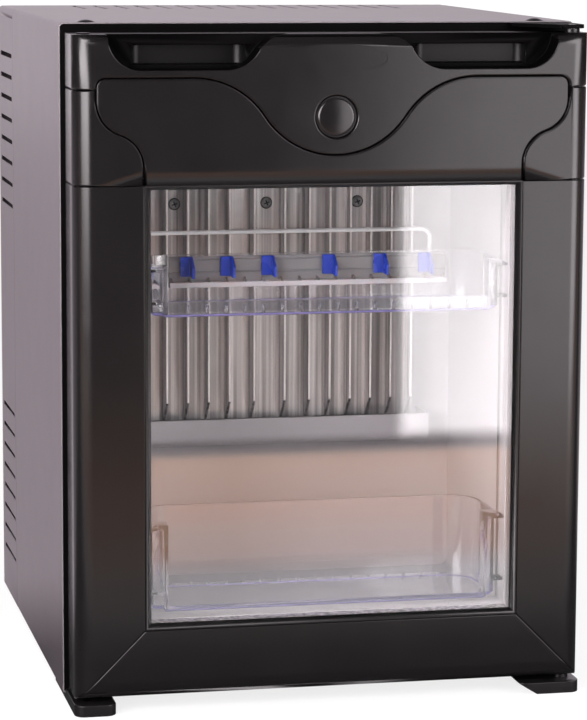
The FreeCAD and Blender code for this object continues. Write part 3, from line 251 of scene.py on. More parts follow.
def with_die_lines(material, across):
    """Add fine lines and streaks along Z to a finish, this many lines per metre."""
    tree = material.node_tree
    bump = next(item for item in tree.nodes if item.type == "BUMP")
    place = node(tree, "ShaderNodeTexCoord")
    squeeze = node(tree, "ShaderNodeMapping")
    squeeze.inputs["Scale"].default_value = (across, across, across / line_stretch)
    lines = node(tree, "ShaderNodeTexNoise")
    lines.inputs["Scale"].default_value = 1.0
    tree.links.new(place.outputs["Object"], squeeze.inputs["Vector"])
    tree.links.new(squeeze.outputs["Vector"], lines.inputs["Vector"])
    tree.links.new(lines.outputs["Fac"], bump.inputs["Height"])
    wide = node(tree, "ShaderNodeMapping")
    streaks_across = across / streak_width
    wide.inputs["Scale"].default_value = (streaks_across, streaks_across, across / streak_stretch)
    streaks = node(tree, "ShaderNodeTexNoise")
    streaks.inputs["Scale"].default_value = 1.0
    streaks.inputs["Detail"].default_value = 4.0
    amount = node(tree, "ShaderNodeMapRange")
    amount.inputs["From Min"].default_value = 0.36
    amount.inputs["From Max"].default_value = 0.62
    amount.inputs["To Min"].default_value = 0.50
    amount.inputs["To Max"].default_value = 1.35
    streaked = node(tree, "ShaderNodeVectorMath", operation="SCALE")
    vary = next(item for item in tree.nodes if item.type == "GROUP")
    shader = tree.nodes["Principled BSDF"]
    tree.links.new(place.outputs["Object"], wide.inputs["Vector"])
    tree.links.new(wide.outputs["Vector"], streaks.inputs["Vector"])
    tree.links.new(streaks.outputs["Fac"], amount.inputs["Value"])
    tree.links.new(vary.outputs["Color"], streaked.inputs[0])
    tree.links.new(amount.outputs[0], streaked.inputs["Scale"])
    tree.links.new(streaked.outputs[0], shader.inputs["Base Color"])
    return material


finishes["aluminium"] = with_die_lines(
    opaque("aluminium", (0.56, 0.53, 0.53), 0.38, tone=0.1, grain_depth=0.0001, Metallic=1.0), 1800.0)
# Near white, not metal: a painted highlight on the fin tips, for the light they catch.
finishes["fin_tip_highlight"] = opaque("fin_tip_highlight", (0.98, 0.91, 0.87), 0.34, tone=0.04)
finishes["zinc_steel"] = opaque("zinc_steel", (0.56, 0.56, 0.54), 0.36, tone=0.25, smudge=0.25,
                                grain_scale=160.0, Metallic=1.0)
finishes["lens_plastic"] = opaque("lens_plastic", (0.85, 0.85, 0.82), 0.18, tone=0.04, Subsurface_Weight=0.4)
print("metals and lens made")


# %% [markdown]
# ## Clear finishes
# The panes and the bins are clear. A Principled shader with full transmission gives their gloss and
# refraction. Light would be stopped by such a shader on its way into the cabinet, so shadow rays and
# diffuse rays pass through a plain Transparent shader instead.


# %% Clear finish helper
def clear(name, colour, roughness, ior, passed, clarity=1.0):
    """See-through material that lets lamp light into what it covers."""
    material = bpy.data.materials.new(name)
    material.use_nodes = True
    tree = material.node_tree
    shader = tree.nodes["Principled BSDF"]
    out = tree.nodes["Material Output"]
    shader.inputs["Transmission Weight"].default_value = clarity
    shader.inputs["IOR"].default_value = ior
    vary = node(tree, "ShaderNodeGroup", node_tree=variation)
    vary.inputs["Color"].default_value = (*colour, 1.0)
    vary.inputs["Tone"].default_value = 0.02
    vary.inputs["Roughness"].default_value = roughness
    vary.inputs["Smudge"].default_value = 0.02
    vary.inputs["Grain Scale"].default_value = 40.0
    tree.links.new(vary.outputs["Color"], shader.inputs["Base Color"])
    tree.links.new(vary.outputs["Roughness"], shader.inputs["Roughness"])
    path = node(tree, "ShaderNodeLightPath")
    either = node(tree, "ShaderNodeMath", operation="MAXIMUM")
    through = node(tree, "ShaderNodeBsdfTransparent")
    through.inputs["Color"].default_value = (passed, passed, passed, 1.0)
    mix = node(tree, "ShaderNodeMixShader")
    tree.links.new(path.outputs["Is Shadow Ray"], either.inputs[0])
    tree.links.new(path.outputs["Is Diffuse Ray"], either.inputs[1])
    tree.links.new(either.outputs[0], mix.inputs["Fac"])
    tree.links.new(shader.outputs[0], mix.inputs[1])
    tree.links.new(through.outputs[0], mix.inputs[2])
    tree.links.new(mix.outputs[0], out.inputs["Surface"])
    return material


finishes["window_glass"] = clear("window_glass", (0.955, 0.970, 0.965), 0.0, 1.5, 0.96)
finishes["clear_plastic"] = clear("clear_plastic", (0.955, 0.940, 0.975), 0.03, 1.55, 0.93, 0.985)
finishes["violet_plastic"] = clear("violet_plastic", (0.36, 0.30, 0.70), 0.08, 1.55, 0.80, 0.60)
print("finishes", len(finishes))

# %% [markdown]
# Every node of the frame takes the finish of its slot. A node's mesh isn't touched: only its material
# slot changes. The boxes of the nodes give later cells their places.


# %% Dress the nodes of the frame
def box_of(name):
    """Lowest and highest corner of a node, in metres."""
    corners = [Vector(corner) for corner in frame["nodes"][name].bound_box]
    return (Vector(map(min, zip(*corners))), Vector(map(max, zip(*corners))))


for name, part in frame["nodes"].items():
    part.data.materials.clear()
    part.data.materials.append(finishes[slot_of[name]])
print("dressed", len(frame["nodes"]), "nodes")

# %% [markdown]
# ## Moulded edges
# A sharp edge gives no highlight, and that is what makes a model look like one. Each piece whose edges
# show is copied, its triangles are merged to flat faces, and a Bevel modifier rounds the edges that
# carry a bevel weight. One short edge would hold back the bevel of the whole piece, because Blender
# clamps them all alike. So an edge gets a weight only if it turns sharply, has room beside it and isn't
# the rim of a small hole, and then the clamp can be switched off. Where a bevel still folds a face
# over, the edges there lose their weight again. The Weighted Normal modifier after it keeps the flat
# faces flat.


# %% Edges that can be rounded
sharp_turn = math.radians(32)
flat_turn = math.radians(0.4)
carried_on = -0.85
small_rim = 0.014
room_share = 2.2
unfold_share = 2.5
unfold_rounds = 8
folded_turn = 0.7
least_fold = 1e-9
same_place = 1e-6


def has_room(edge, room):
    """True if no edge beside this one is too short for its bevel, apart from those that carry it on."""
    for vert in edge.verts:
        along = (edge.other_vert(vert).co - vert.co).normalized()
        for other in vert.link_edges:
            away = other.other_vert(vert).co - vert.co
            if other is not edge and away.length < room and along.dot(away.normalized()) > carried_on:
                return False
    return True


def connected(edges):
    """Sort edges into groups that hang together."""
    unseen = set(edges)
    groups = []
    while unseen:
        group = [unseen.pop()]
        for edge in group:
            beside = {other for vert in edge.verts for other in vert.link_edges} & unseen
            unseen -= beside
            group.extend(beside)
        groups.append(group)
    return groups


def span(edges):
    """Longest side of the box round some edges."""
    points = [vert.co for edge in edges for vert in edge.verts]
    return max(max(axis) - min(axis) for axis in zip(*points))


def folded_corners(mesh):
    """Corners of the triangles that lie the wrong way round in their own face."""
    mesh.calc_loop_triangles()
    corners = []
    for triangle in mesh.loop_triangles:
        a, b, c = (mesh.vertices[index].co for index in triangle.vertices)
        out = (b - a).cross(c - a)
        face_out = mesh.polygons[triangle.polygon_index].normal
        if out.length > least_fold and out.normalized().dot(face_out) < folded_turn:
            corners.extend((a.copy(), b.copy(), c.copy()))
    return corners


def unfold(piece, reach):
    """Take the weight off edges near folded faces until no face is folded, and count the rounds."""
    for attempt in range(unfold_rounds):
        bpy.context.view_layer.update()
        shown = piece.evaluated_get(bpy.context.evaluated_depsgraph_get())
        corners = folded_corners(shown.to_mesh())
        shown.to_mesh_clear()
        if not corners:
            return attempt
        weights = piece.data.attributes["bevel_weight_edge"].data
        for edge in piece.data.edges:
            ends = [piece.data.vertices[index].co for index in edge.vertices]
            if any((end - corner).length < reach for end in ends for corner in corners):
                weights[edge.index].value = 0.0
        piece.data.update()
    return attempt


print("edges sharper than", round(math.degrees(sharp_turn)), "degrees can be rounded")


# %% [markdown]
# The copy of a piece rides with its body and shows in its place. On four door mouldings the rounding is
# kept to some places. It leaves out the oval seat and the top of the cap, the back of the stiles and the
# ends of the rail.


# %% Softened copies
def softened(name, radius):
    """Copy of a node with rounded edges, which rides and shows in its place."""
    source = frame["nodes"][name]
    piece = bpy.data.objects.new(name + "_soft", source.data.copy())
    shape = bmesh.new()
    shape.from_mesh(piece.data)
    bmesh.ops.remove_doubles(shape, verts=shape.verts, dist=same_place)
    bmesh.ops.dissolve_limit(shape, angle_limit=flat_turn, verts=shape.verts, edges=shape.edges)
    weight = shape.edges.layers.float.new("bevel_weight_edge")
    sharp = [edge for edge in shape.edges if edge.calc_face_angle(0.0) > sharp_turn]
    keep = kept_edges.get(name, lambda at: True)
    placed = [edge for edge in sharp if keep((edge.verts[0].co + edge.verts[1].co) / 2)]
    roomy = [edge for edge in placed if has_room(edge, room_share * radius)]
    if name in convex_only:
        roomy = [edge for edge in roomy if edge.is_convex]
    for group in connected(roomy):
        if span(group) > small_rim:
            for edge in group:
                edge[weight] = 1.0
    shape.to_mesh(piece.data)
    shape.free()
    piece.data.shade_smooth()
    bevel = piece.modifiers.new("rounded edges", "BEVEL")
    bevel.width = radius
    bevel.segments = 2
    bevel.limit_method = "WEIGHT"
    bevel.use_clamp_overlap = name in clamped
    bevel.miter_outer = "MITER_ARC"
    steady = piece.modifiers.new("flat faces", "WEIGHTED_NORMAL")
    steady.keep_sharp = True
    scene.collection.objects.link(piece)
    rounds = unfold(piece, unfold_share * radius)
    if rounds:
        print(name, "unfolded in", rounds, "rounds")
    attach(piece, body_of[name])
    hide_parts(name)
    return piece


cap_low, cap_high = box_of("door_handle_cap")
cap_front = cap_low.y + 0.001
grip_front = cap_low.y + 0.0025
groove_top = cap_high.z - 0.030
grip_low = cap_high.z - 0.029
grip_high = cap_high.z - 0.0025
seat_half = 0.05
stile_back = cap_low.y + 0.0385
rail_half = 0.192


def on_cap(at):
    """True on the cap's lower edge, in its grips and on its front beside the oval seat."""
    low_edge = at.z < groove_top
    in_grip = at.y > grip_front and grip_low < at.z < grip_high
    on_front = at.y < cap_front and abs(at.x) > seat_half
    return low_edge or in_grip or on_front


kept_edges = {
    "door_handle_cap": on_cap,
    "door_stile_left": lambda at: at.y < stile_back,
    "door_stile_right": lambda at: at.y < stile_back,
    "door_bottom_rail": lambda at: abs(at.x) < rail_half,
}
clamped = {"vent_panel_left", "vent_panel_right", "vent_panel_top"}
convex_only = {"door_inner_frame"}
edge_radius = {
    "wrapper": 0.00035, "vent_panel_left": 0.0006, "vent_panel_right": 0.0006, "vent_panel_top": 0.0006,
    "door_handle_cap": 0.0012, "door_fascia": 0.0012, "door_corner_left": 0.0012, "door_corner_right": 0.0012,
    "door_stile_left": 0.0008, "door_stile_right": 0.0008, "door_bottom_rail": 0.0008, "lock_cap": 0.0006,
    "door_inner_frame": 0.0005, "door_gasket": 0.0006, "glazing_bead": 0.0002, "front_frame": 0.0006,
    "hinge_plate_top": 0.0004, "hinge_bracket_bottom": 0.0005, "foot_front_left": 0.0008,
    "control_box": 0.0010, "thermostat_knob": 0.0006, "drip_tray": 0.0005, "terminal_box": 0.0015,
    "bin_lower": 0.0007, "bin_upper": 0.0005, "clip_rail": 0.0003, "evaporator": 0.0003, "rear_feet": 0.0008,
}
for number in range(1, 7):
    edge_radius["bottle_clip_%d" % number] = 0.0005
soft = {name: softened(name, radius) for name, radius in edge_radius.items()}
print("softened", len(soft), "pieces")


# %% [markdown]
# ## Second finishes
# Some pieces carry two finishes. The tips of the fins are painted near white, a painted highlight for
# the light they catch. The ledge of the clip rail is painted whiter, painted light for the light it
# catches from above. The inside of the grips is near black with almost no gloss, painted shade, and a
# little less dark in the finger pockets. The front edge of the cabinet's sheet is lighter, for its bare
# cut edge and as a painted highlight. The bins turn violet along their lower edge where the plastic is
# thick, and the lugs on the back of the door are clear. Faces are picked by where they are and which
# way they face, so the pick still holds when a solid is made again with another count of triangles.


# %% Pick faces for a second finish
def refinish(name, finish, test):
    """Give the faces of a softened piece that pass the test a second finish."""
    mesh = soft[name].data
    mesh.materials.append(finishes[finish])
    picked = [face for face in mesh.polygons if test(face.center, face.normal)]
    for face in picked:
        face.material_index = len(mesh.materials) - 1
    print(name, finish, len(picked), "faces")


def cut_level(name, level):
    """Split the faces of a softened piece at a height, for a finish on each side of the cut."""
    shape = bmesh.new()
    shape.from_mesh(soft[name].data)
    everything = shape.verts[:] + shape.edges[:] + shape.faces[:]
    bmesh.ops.bisect_plane(shape, geom=everything, plane_co=(0, 0, level), plane_no=(0, 0, 1))
    shape.to_mesh(soft[name].data)
    shape.free()


fin_tip = box_of("evaporator")[0].y + 0.0005
sheet_front = box_of("wrapper")[0].y + 0.0003
grip_back = cap_low.y + 0.004
grip_end = 0.185
pocket_front = cap_low.y + 0.0203
pocket_back = pocket_front + 0.0125
pocket_end = 0.1525
ledge_top = box_of("clip_rail")[0].z + 0.005
pane_half = 0.1379
lug_inner = 0.120
pane_low = box_of("glass_inner")[0].z
pane_high = box_of("glass_inner")[1].z
violet_height = 0.0022
faces_front = -0.7
faces_flat = 0.95
# The fin tips get the near-white finish as a painted highlight.
refinish("evaporator", "fin_tip_highlight", lambda at, out: at.y < fin_tip and out.y < faces_front)
# The front faces of the sheet's edge get the lighter finish, bare edge and painted highlight.
refinish("wrapper", "bare_edge_and_highlight", lambda at, out: at.y < sheet_front and out.y < faces_front)
# The inside of the grips gets the near-black finish as painted shade.
refinish("door_handle_cap", "matt_black_and_painted_shade",
         lambda at, out: at.y > grip_back and at.z > grip_low and abs(at.x) < grip_end)
# The finger pockets get a less dark painted shade.
refinish("door_handle_cap", "pocket_painted_shade",
         lambda at, out: pocket_front < at.y < pocket_back and abs(at.x) < pocket_end)
# The lower band of the clip rail gets the whiter copy as painted light.
refinish("clip_rail", "ledge_painted_light", lambda at, out: at.z < ledge_top)
refinish("door_inner_frame", "clear_plastic",
         lambda at, out: lug_inner < abs(at.x) < pane_half and pane_low < at.z < pane_high)
for name in ("bin_upper", "bin_lower"):
    rim = box_of(name)[0].z + violet_height
    cut_level(name, rim)
    refinish(name, "violet_plastic", lambda at, out: at.z < rim and abs(out.z) < faces_flat)
# The front frame gets the near-black matt finish as painted shade for the gap round the door; the top hinge
# plate gets it as its black paint.
for name in ("front_frame", "hinge_plate_top"):
    soft[name].data.materials.clear()
    soft[name].data.materials.append(finishes["matt_black_and_painted_shade"])


# %% [markdown]
# ## Small fittings
# The solids stop at the sizes that matter for fit. Small fittings are added here: dark crosses on the
# screw heads, painted shade for their recesses, dark rings round the evaporator screw heads, painted
# shade for the shadow about each head, screws in the rear panels, ribs on the lamp lens, a pointer and
# dots for the thermostat, rings on the cable gland and bands round the boiler jacket. A bmesh starts as
# a create_ shape, is turned along its axis with one matrix and becomes an object that rides with the
# body it is fixed to.


# %% Fitting helpers
crease_turn = math.radians(35)


def facing(place, axis):
    """Matrix that takes the Z axis to a direction, at a place."""
    return Matrix.Translation(place) @ Vector((0, 0, 1)).rotation_difference(axis).to_matrix().to_4x4()


def bar(shape, matrix, size, turn=0.0):
    """Small box in a bmesh, turned about its own Z first."""
    spun = matrix @ Matrix.Rotation(turn, 4, "Z") @ Matrix.Diagonal((*size, 1.0))
    bmesh.ops.create_cube(shape, size=1.0, matrix=spun)


def disc(shape, matrix, foot, top, height, segments=28):
    """Short cone that stands on its place."""
    lifted = matrix @ Matrix.Translation((0, 0, height / 2))
    bmesh.ops.create_cone(shape, cap_ends=True, segments=segments, radius1=foot, radius2=top, depth=height,
                          matrix=lifted)


def ring(shape, matrix, radius, wire, steps=56):
    """Round wire bent to a ring: a circle set upright and spun about Z."""
    upright = Matrix.Translation((radius, 0, 0)) @ Matrix.Rotation(math.pi / 2, 4, "X")
    other = bmesh.new()
    bmesh.ops.create_circle(other, segments=10, radius=wire, matrix=upright)
    bmesh.ops.spin(other, geom=other.verts[:] + other.edges[:], cent=(0, 0, 0), axis=(0, 0, 1),
                   angle=2 * math.pi, steps=steps, use_merge=True)
    bmesh.ops.transform(other, matrix=matrix, verts=other.verts)
    bmesh.ops.recalc_face_normals(other, faces=other.faces)
    held = bpy.data.meshes.new("ring")
    other.to_mesh(held)
    other.free()
    shape.from_mesh(held)
    bpy.data.meshes.remove(held)


def fitting(name, like, finish, shape):
    """Object from a bmesh with a given finish, which rides with the body of a node."""
    mesh = bpy.data.meshes.new(name)
    shape.to_mesh(mesh)
    shape.free()
    mesh.materials.append(finishes[finish])
    piece = bpy.data.objects.new(name, mesh)
    scene.collection.objects.link(piece)
    mesh.shade_smooth()
    mesh.set_sharp_from_angle(angle=crease_turn)
    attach(piece, body_of[like])
    print("fitting", name, len(mesh.polygons), "faces")


def solids_of(name):
    """Boxes of the separate solids of a node, found by walking along edges."""
    shape = bmesh.new()
    shape.from_mesh(frame["nodes"][name].data)
    bmesh.ops.remove_doubles(shape, verts=shape.verts, dist=same_place)
    unseen = set(shape.verts)
    boxes = []
    while unseen:
        queue = [unseen.pop()]
        reached = []
        while queue:
            vert = queue.pop()
            reached.append(tuple(vert.co))
            beside = {edge.other_vert(vert) for edge in vert.link_edges} & unseen
            unseen -= beside
            queue.extend(beside)
        boxes.append((tuple(map(min, zip(*reached))), tuple(map(max, zip(*reached)))))
    shape.free()
    return [(Vector(low), Vector(high)) for low, high in sorted(boxes)]


# %% [markdown]
# A pan-head screw gets a dark cross, painted shade for its cross recess, and the evaporator screws get
# a dark ring under the head, painted shade for the shadow round it. The head's highest point is the
# middle of the solid's box on the side that the head faces.

# %% Screw recess shade and shadow rings
screw_facing = {"evaporator_screws": (0, -1, 0), "door_screws": (0, 1, 0), "hinge_screws": (0, 0, -1)}
cross_size = (0.0046, 0.0012, 0.0009)
cross_sunk = 0.00035
cross_turns = (math.radians(20), math.radians(110))
head_height = 0.0025
shadow_ring_size = (0.0051, 0.0049, 0.0005)
with_shadow_rings = {"evaporator_screws"}
for name, out in screw_facing.items():
    axis = Vector(out)
    tops = []
    for low, high in solids_of(name):
        reach = (high - low).dot(Vector(map(abs, out))) / 2
        tops.append((low + high) / 2 + axis * reach)
    # Dark crosses: painted shade for the recesses.
    recess_shades = bmesh.new()
    for top in tops:
        for turn in cross_turns:
            bar(recess_shades, facing(top - axis * cross_sunk, axis), cross_size, turn)
    fitting(name + "_cross", name, "matt_black_and_painted_shade", recess_shades)
    if name in with_shadow_rings:
        # Dark rings under the heads: painted shade for the shadow round each head.
        shadow_rings = bmesh.new()
        for top in tops:
            disc(shadow_rings, facing(top - axis * head_height, axis), *shadow_ring_size)
        fitting(name + "_shadow_ring", name, "matt_black_and_painted_shade", shadow_rings)

# %% [markdown]
# The rear sheets are held by small screws along their edges, three at each side and three along the top.
# Their cross recesses are dark crosses, painted shade.

# %% Rear panel screws
rear = Vector((0, 1, 0))
rear_screw = (0.0036, 0.0024, 0.0015)
rear_cross = (0.0034, 0.0009, 0.0004)
rear_turn = 0.3
side_x = 0.195
side_heights = (0.030, 0.250, 0.485)
top_z = 0.517
rear_places = {"vent_panel_left": [(-side_x, z) for z in side_heights],
               "vent_panel_right": [(side_x, z) for z in side_heights],
               "vent_panel_top": [(x, top_z) for x in (-0.150, 0.0, 0.150)]}
for name, places in rear_places.items():
    heads = bmesh.new()
    # Dark crosses on the heads: painted shade for the recesses.
    recess_shades = bmesh.new()
    for x, z in places:
        at = Vector((x, box_of(name)[1].y, z))
        disc(heads, facing(at, rear), *rear_screw)
        for turn in (rear_turn, rear_turn + math.pi / 2):
            bar(recess_shades, facing(at + rear * rear_screw[2], rear), rear_cross, turn)
    fitting(name + "_screw", name, "zinc_steel", heads)
    fitting(name + "_screw_cross", name, "matt_black_and_painted_shade", recess_shades)

# %% [markdown]
# The thermostat has a white pointer on its grip and seven dots on the box, from one end of its turn to
# the other. The lamp lens is ribbed so that its light spreads.

# %% Thermostat and lens
front = Vector((0, -1, 0))
knob_low, knob_high = box_of("thermostat_knob")
knob_middle = (knob_low + knob_high) / 2
pointer_lift = 0.0045
pointer_size = (0.0010, 0.0050, 0.0003)
pointer_place = Vector((knob_middle.x, knob_low.y, knob_middle.z + pointer_lift))
pointer = bmesh.new()
bar(pointer, facing(pointer_place, front), pointer_size)
fitting("thermostat_pointer", "thermostat_knob", "white_wire", pointer)

dots = bmesh.new()
box_front = box_of("control_box")[0].y
dot_circle = 0.0112
dot_size = (0.0007, 0.0006, 0.0002)
dot_count = 7
first_dot = -135
dot_turn = 45
for step in range(dot_count):
    angle = math.radians(first_dot + dot_turn * step)
    aside = dot_circle * math.sin(angle)
    above = dot_circle * math.cos(angle)
    at = Vector((knob_middle.x + aside, box_front, knob_middle.z + above))
    disc(dots, facing(at, front), *dot_size, segments=14)
fitting("thermostat_dots", "control_box", "matt_black_and_painted_shade", dots)

ribs = bmesh.new()
lens_low, lens_high = box_of("lamp_lens")
up = Vector((0, 0, 1))
rib_count = 11
rib_radius = 0.0011
rib_sunk = 0.0004
rib_margin = 0.001
rib_height = lens_high.z - lens_low.z - 2 * rib_margin
for step in range(rib_count):
    x = lens_low.x + (lens_high.x - lens_low.x) * (step + 0.5) / rib_count
    foot = Vector((x, lens_low.y + rib_sunk, lens_low.z + rib_margin))
    disc(ribs, facing(foot, up), rib_radius, rib_radius, rib_height, segments=16)
fitting("lamp_lens_ribs", "lamp_lens", "lens_plastic", ribs)

# %% [markdown]
# At the rear, the cable gland has three grip rings and the boiler jacket two tightening bands.

# %% Gland rings and jacket bands
for name, finish, wire, steps in (("mains_gland", "trim_plastic", 0.0008, (0.30, 0.50, 0.70)),
                                  ("boiler_jacket", "zinc_steel", 0.0012, (0.18, 0.82))):
    low, high = box_of(name)
    rings = bmesh.new()
    for step in steps:
        at = Vector(((low.x + high.x) / 2, (low.y + high.y) / 2, low.z + (high.z - low.z) * step))
        ring(rings, facing(at, up), (high.x - low.x) / 2, wire)
    fitting(name + "_rings", name, finish, rings)

# %% [markdown]
# ## The studio
# The camera sees a white background. Mirrored rays see a dark room with a bright wall behind the
# fridge, which lights the cabinet's side and top at their low angle and leaves the black mouldings
# black. All other rays get an even, dim light from all around.

# %% World
room_light = 0.45
dark_side = 0.08
bright_wall = 1.25
wall_from = 0.72
wall_full = 0.97
seen_white = 1.03
white = (1.0, 1.0, 1.0, 1.0)
room_tint = (1.0, 0.905, 0.975, 1.0)
first_colour = 6
second_colour = 7
mixed_colour = 2
world = bpy.data.worlds.new("studio")
scene.world = world
world.use_nodes = True
tree = world.node_tree
backdrop = tree.nodes["Background"]
tint = node(tree, "ShaderNodeMix", data_type="RGBA")
tint.inputs[first_colour].default_value = room_tint
tint.inputs[second_colour].default_value = white
place = node(tree, "ShaderNodeTexCoord")
split = node(tree, "ShaderNodeSeparateXYZ")
wall = node(tree, "ShaderNodeMapRange", interpolation_type="SMOOTHSTEP")
wall.inputs["From Min"].default_value = wall_from
wall.inputs["From Max"].default_value = wall_full
wall.inputs["To Min"].default_value = dark_side
wall.inputs["To Max"].default_value = bright_wall
path = node(tree, "ShaderNodeLightPath")
mirrored = node(tree, "ShaderNodeMix", data_type="FLOAT")
mirrored.inputs["A"].default_value = room_light
seen = node(tree, "ShaderNodeMix", data_type="FLOAT")
seen.inputs["B"].default_value = seen_white
tree.links.new(place.outputs["Generated"], split.inputs[0])
tree.links.new(split.outputs["Y"], wall.inputs["Value"])
tree.links.new(wall.outputs[0], mirrored.inputs["B"])
tree.links.new(path.outputs["Is Glossy Ray"], mirrored.inputs["Factor"])
tree.links.new(mirrored.outputs[0], seen.inputs["A"])
tree.links.new(path.outputs["Is Camera Ray"], seen.inputs["Factor"])
tree.links.new(seen.outputs[0], backdrop.inputs["Strength"])
tree.links.new(path.outputs["Is Camera Ray"], tint.inputs["Factor"])
tree.links.new(tint.outputs[mixed_colour], backdrop.inputs["Color"])
print("world ready")


# %% [markdown]
# Softboxes light the front from both sides, with a dark room between them. The right one is mirrored by
# the glass and by the flat front of the door, and a stronger card stands before it. The left one is
# mirrored by the round left edge of the door. Each is a card with an Emission shader that fades towards
# its rim, as a diffuser does, and the camera doesn't see it. The fade is the distance to the nearest
# rim: Ping Pong folds the Generated coordinate at the middle of the card.


# %% Softboxes
glow_tint = (1.0, 0.935, 0.965, 1.0)
card_middle = 0.5


def softbox(name, left, right, low, high, y, fade, strength):
    """Glowing card that faces the fridge, seen by light but not by the camera."""
    shape = bmesh.new()
    bmesh.ops.create_grid(shape, x_segments=1, y_segments=1, size=0.5)
    bmesh.ops.scale(shape, vec=(right - left, high - low, 1.0), verts=shape.verts)
    bmesh.ops.rotate(shape, matrix=Matrix.Rotation(math.pi / 2, 3, "X"), verts=shape.verts)
    bmesh.ops.translate(shape, vec=((left + right) / 2, y, (low + high) / 2), verts=shape.verts)
    mesh = bpy.data.meshes.new(name)
    shape.to_mesh(mesh)
    shape.free()
    material = bpy.data.materials.new(name)
    material.use_nodes = True
    tree = material.node_tree
    place = node(tree, "ShaderNodeTexCoord")
    split = node(tree, "ShaderNodeSeparateXYZ")
    tree.links.new(place.outputs["Generated"], split.inputs[0])
    nearest = node(tree, "ShaderNodeMath", operation="MINIMUM")
    for number, (axis, size) in enumerate((("X", right - left), ("Z", high - low))):
        fold = node(tree, "ShaderNodeMath", operation="PINGPONG")
        fold.inputs[1].default_value = card_middle
        metres = node(tree, "ShaderNodeMath", operation="MULTIPLY")
        metres.inputs[1].default_value = size
        tree.links.new(split.outputs[axis], fold.inputs[0])
        tree.links.new(fold.outputs[0], metres.inputs[0])
        tree.links.new(metres.outputs[0], nearest.inputs[number])
    rim = node(tree, "ShaderNodeMapRange", interpolation_type="SMOOTHSTEP")
    rim.inputs["From Max"].default_value = fade
    rim.inputs["To Max"].default_value = strength
    glow = node(tree, "ShaderNodeEmission")
    glow.inputs["Color"].default_value = glow_tint
    tree.links.new(nearest.outputs[0], rim.inputs["Value"])
    tree.links.new(rim.outputs[0], glow.inputs["Strength"])
    tree.links.new(glow.outputs[0], tree.nodes["Material Output"].inputs["Surface"])
    mesh.materials.append(material)
    made = bpy.data.objects.new(name, mesh)
    made.visible_camera = False
    scene.collection.objects.link(made)
    made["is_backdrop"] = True


softbox("softbox_right", left=0.282, right=1.90, low=0.028, high=1.05, y=-1.15, fade=0.020, strength=5.0)
softbox("softbox_edge", left=0.62, right=1.40, low=0.03, high=1.05, y=-1.10, fade=0.05, strength=11.0)
softbox("softbox_left", left=-2.60, right=-0.50, low=0.16, high=1.40, y=-1.30, fade=0.24, strength=20.0)
print("softboxes ready")


# %% [markdown]
# ## Floor
# To the camera the floor is white, with a share of plain emission so that its shadow stays faint.
# Mirrored rays see a studio floor instead: dark in the shade next to the door, then a strip of white,
# then warm boards, lightest at their far end, and the dark room behind them. Behind the fridge it is
# light grey. A Color Ramp over the distance in front of the fridge's middle paints those zones, and the
# glass shows them as the warm sheen in its lower part.

# %% Floor
floor_reach = 2.5
dark_room = (0.10, 0.10, 0.11)
far_boards = (1.85, 1.06, 0.66)
near_boards = (1.20, 0.68, 0.46)
white_paper = (1.15, 1.12, 1.15)
near_shade = (0.10, 0.10, 0.10)
rear_paper = (0.74, 0.655, 0.715)
zones = ((floor_reach, dark_room), (1.28, dark_room), (1.24, far_boards), (0.76, near_boards),
         (0.66, white_paper), (0.52, white_paper), (0.47, near_shade), (0.00, near_shade),
         (-0.25, rear_paper), (-floor_reach, rear_paper))
floor_radius = 6.0
floor_colour = (0.86, 0.86, 0.86, 1.0)
floor_glow = 0.8

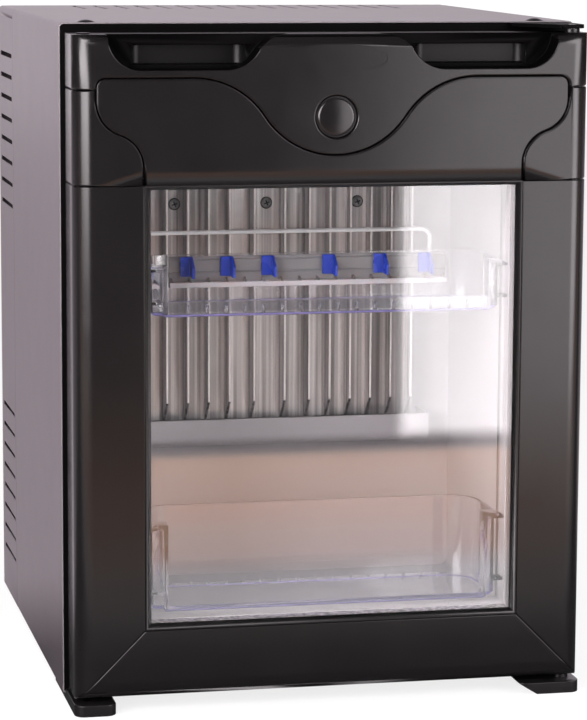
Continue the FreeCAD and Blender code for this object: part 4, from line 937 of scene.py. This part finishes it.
shape = bmesh.new()
bmesh.ops.create_circle(shape, cap_ends=True, segments=96, radius=floor_radius)
floor_mesh = bpy.data.meshes.new("floor")
shape.to_mesh(floor_mesh)
shape.free()
floor = bpy.data.objects.new("floor", floor_mesh)
scene.collection.objects.link(floor)
floor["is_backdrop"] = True
floor_paint = bpy.data.materials.new("floor_paint")
floor_paint.use_nodes = True
tree = floor_paint.node_tree
paint = tree.nodes["Principled BSDF"]
paint.inputs["Base Color"].default_value = floor_colour
paint.inputs["Roughness"].default_value = 0.9
paint.inputs["Specular IOR Level"].default_value = 0.1
path = node(tree, "ShaderNodeLightPath")
plain = node(tree, "ShaderNodeEmission")
share = node(tree, "ShaderNodeMath", operation="MULTIPLY")
share.inputs[1].default_value = floor_glow
seen = node(tree, "ShaderNodeMixShader")
place = node(tree, "ShaderNodeTexCoord")
split = node(tree, "ShaderNodeSeparateXYZ")
away = node(tree, "ShaderNodeMapRange")
away.inputs["From Min"].default_value = -floor_reach
away.inputs["From Max"].default_value = floor_reach
ramp = node(tree, "ShaderNodeValToRGB")
stops = ramp.color_ramp.elements
given_stops = len(stops)
for number, (distance, colour) in enumerate(zones):
    spot = (floor_reach - distance) / (2 * floor_reach)
    stop = stops[number] if number < given_stops else stops.new(spot)
    stop.position = spot
    stop.color = (*colour, 1.0)
sheen = node(tree, "ShaderNodeEmission")
mirrored = node(tree, "ShaderNodeMixShader")
tree.links.new(path.outputs["Is Camera Ray"], share.inputs[0])
tree.links.new(share.outputs[0], seen.inputs["Fac"])
tree.links.new(paint.outputs[0], seen.inputs[1])
tree.links.new(plain.outputs[0], seen.inputs[2])
tree.links.new(place.outputs["Object"], split.inputs[0])
tree.links.new(split.outputs["Y"], away.inputs["Value"])
tree.links.new(away.outputs[0], ramp.inputs["Fac"])
tree.links.new(ramp.outputs["Color"], sheen.inputs["Color"])
tree.links.new(path.outputs["Is Glossy Ray"], mirrored.inputs["Fac"])
tree.links.new(seen.outputs[0], mirrored.inputs[1])
tree.links.new(sheen.outputs[0], mirrored.inputs[2])
tree.links.new(mirrored.outputs[0], tree.nodes["Material Output"].inputs["Surface"])
floor_mesh.materials.append(floor_paint)
print("floor zones", len(zones))

# %% [markdown]
# A wide lamp overhead gives the top its light and fills the inside from above.

# %% Overhead lamp
overhead = bpy.data.objects.new("overhead", bpy.data.lights.new("overhead", "AREA"))
overhead.data.shape = "RECTANGLE"
overhead.data.size = 1.6
overhead.data.size_y = 1.2
overhead.data.energy = 22.0
overhead.location = (-0.3, -0.5, 2.0)
overhead.visible_glossy = False
scene.collection.objects.link(overhead)
print("overhead", overhead.data.energy, "W")

# %% Finish
low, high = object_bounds()
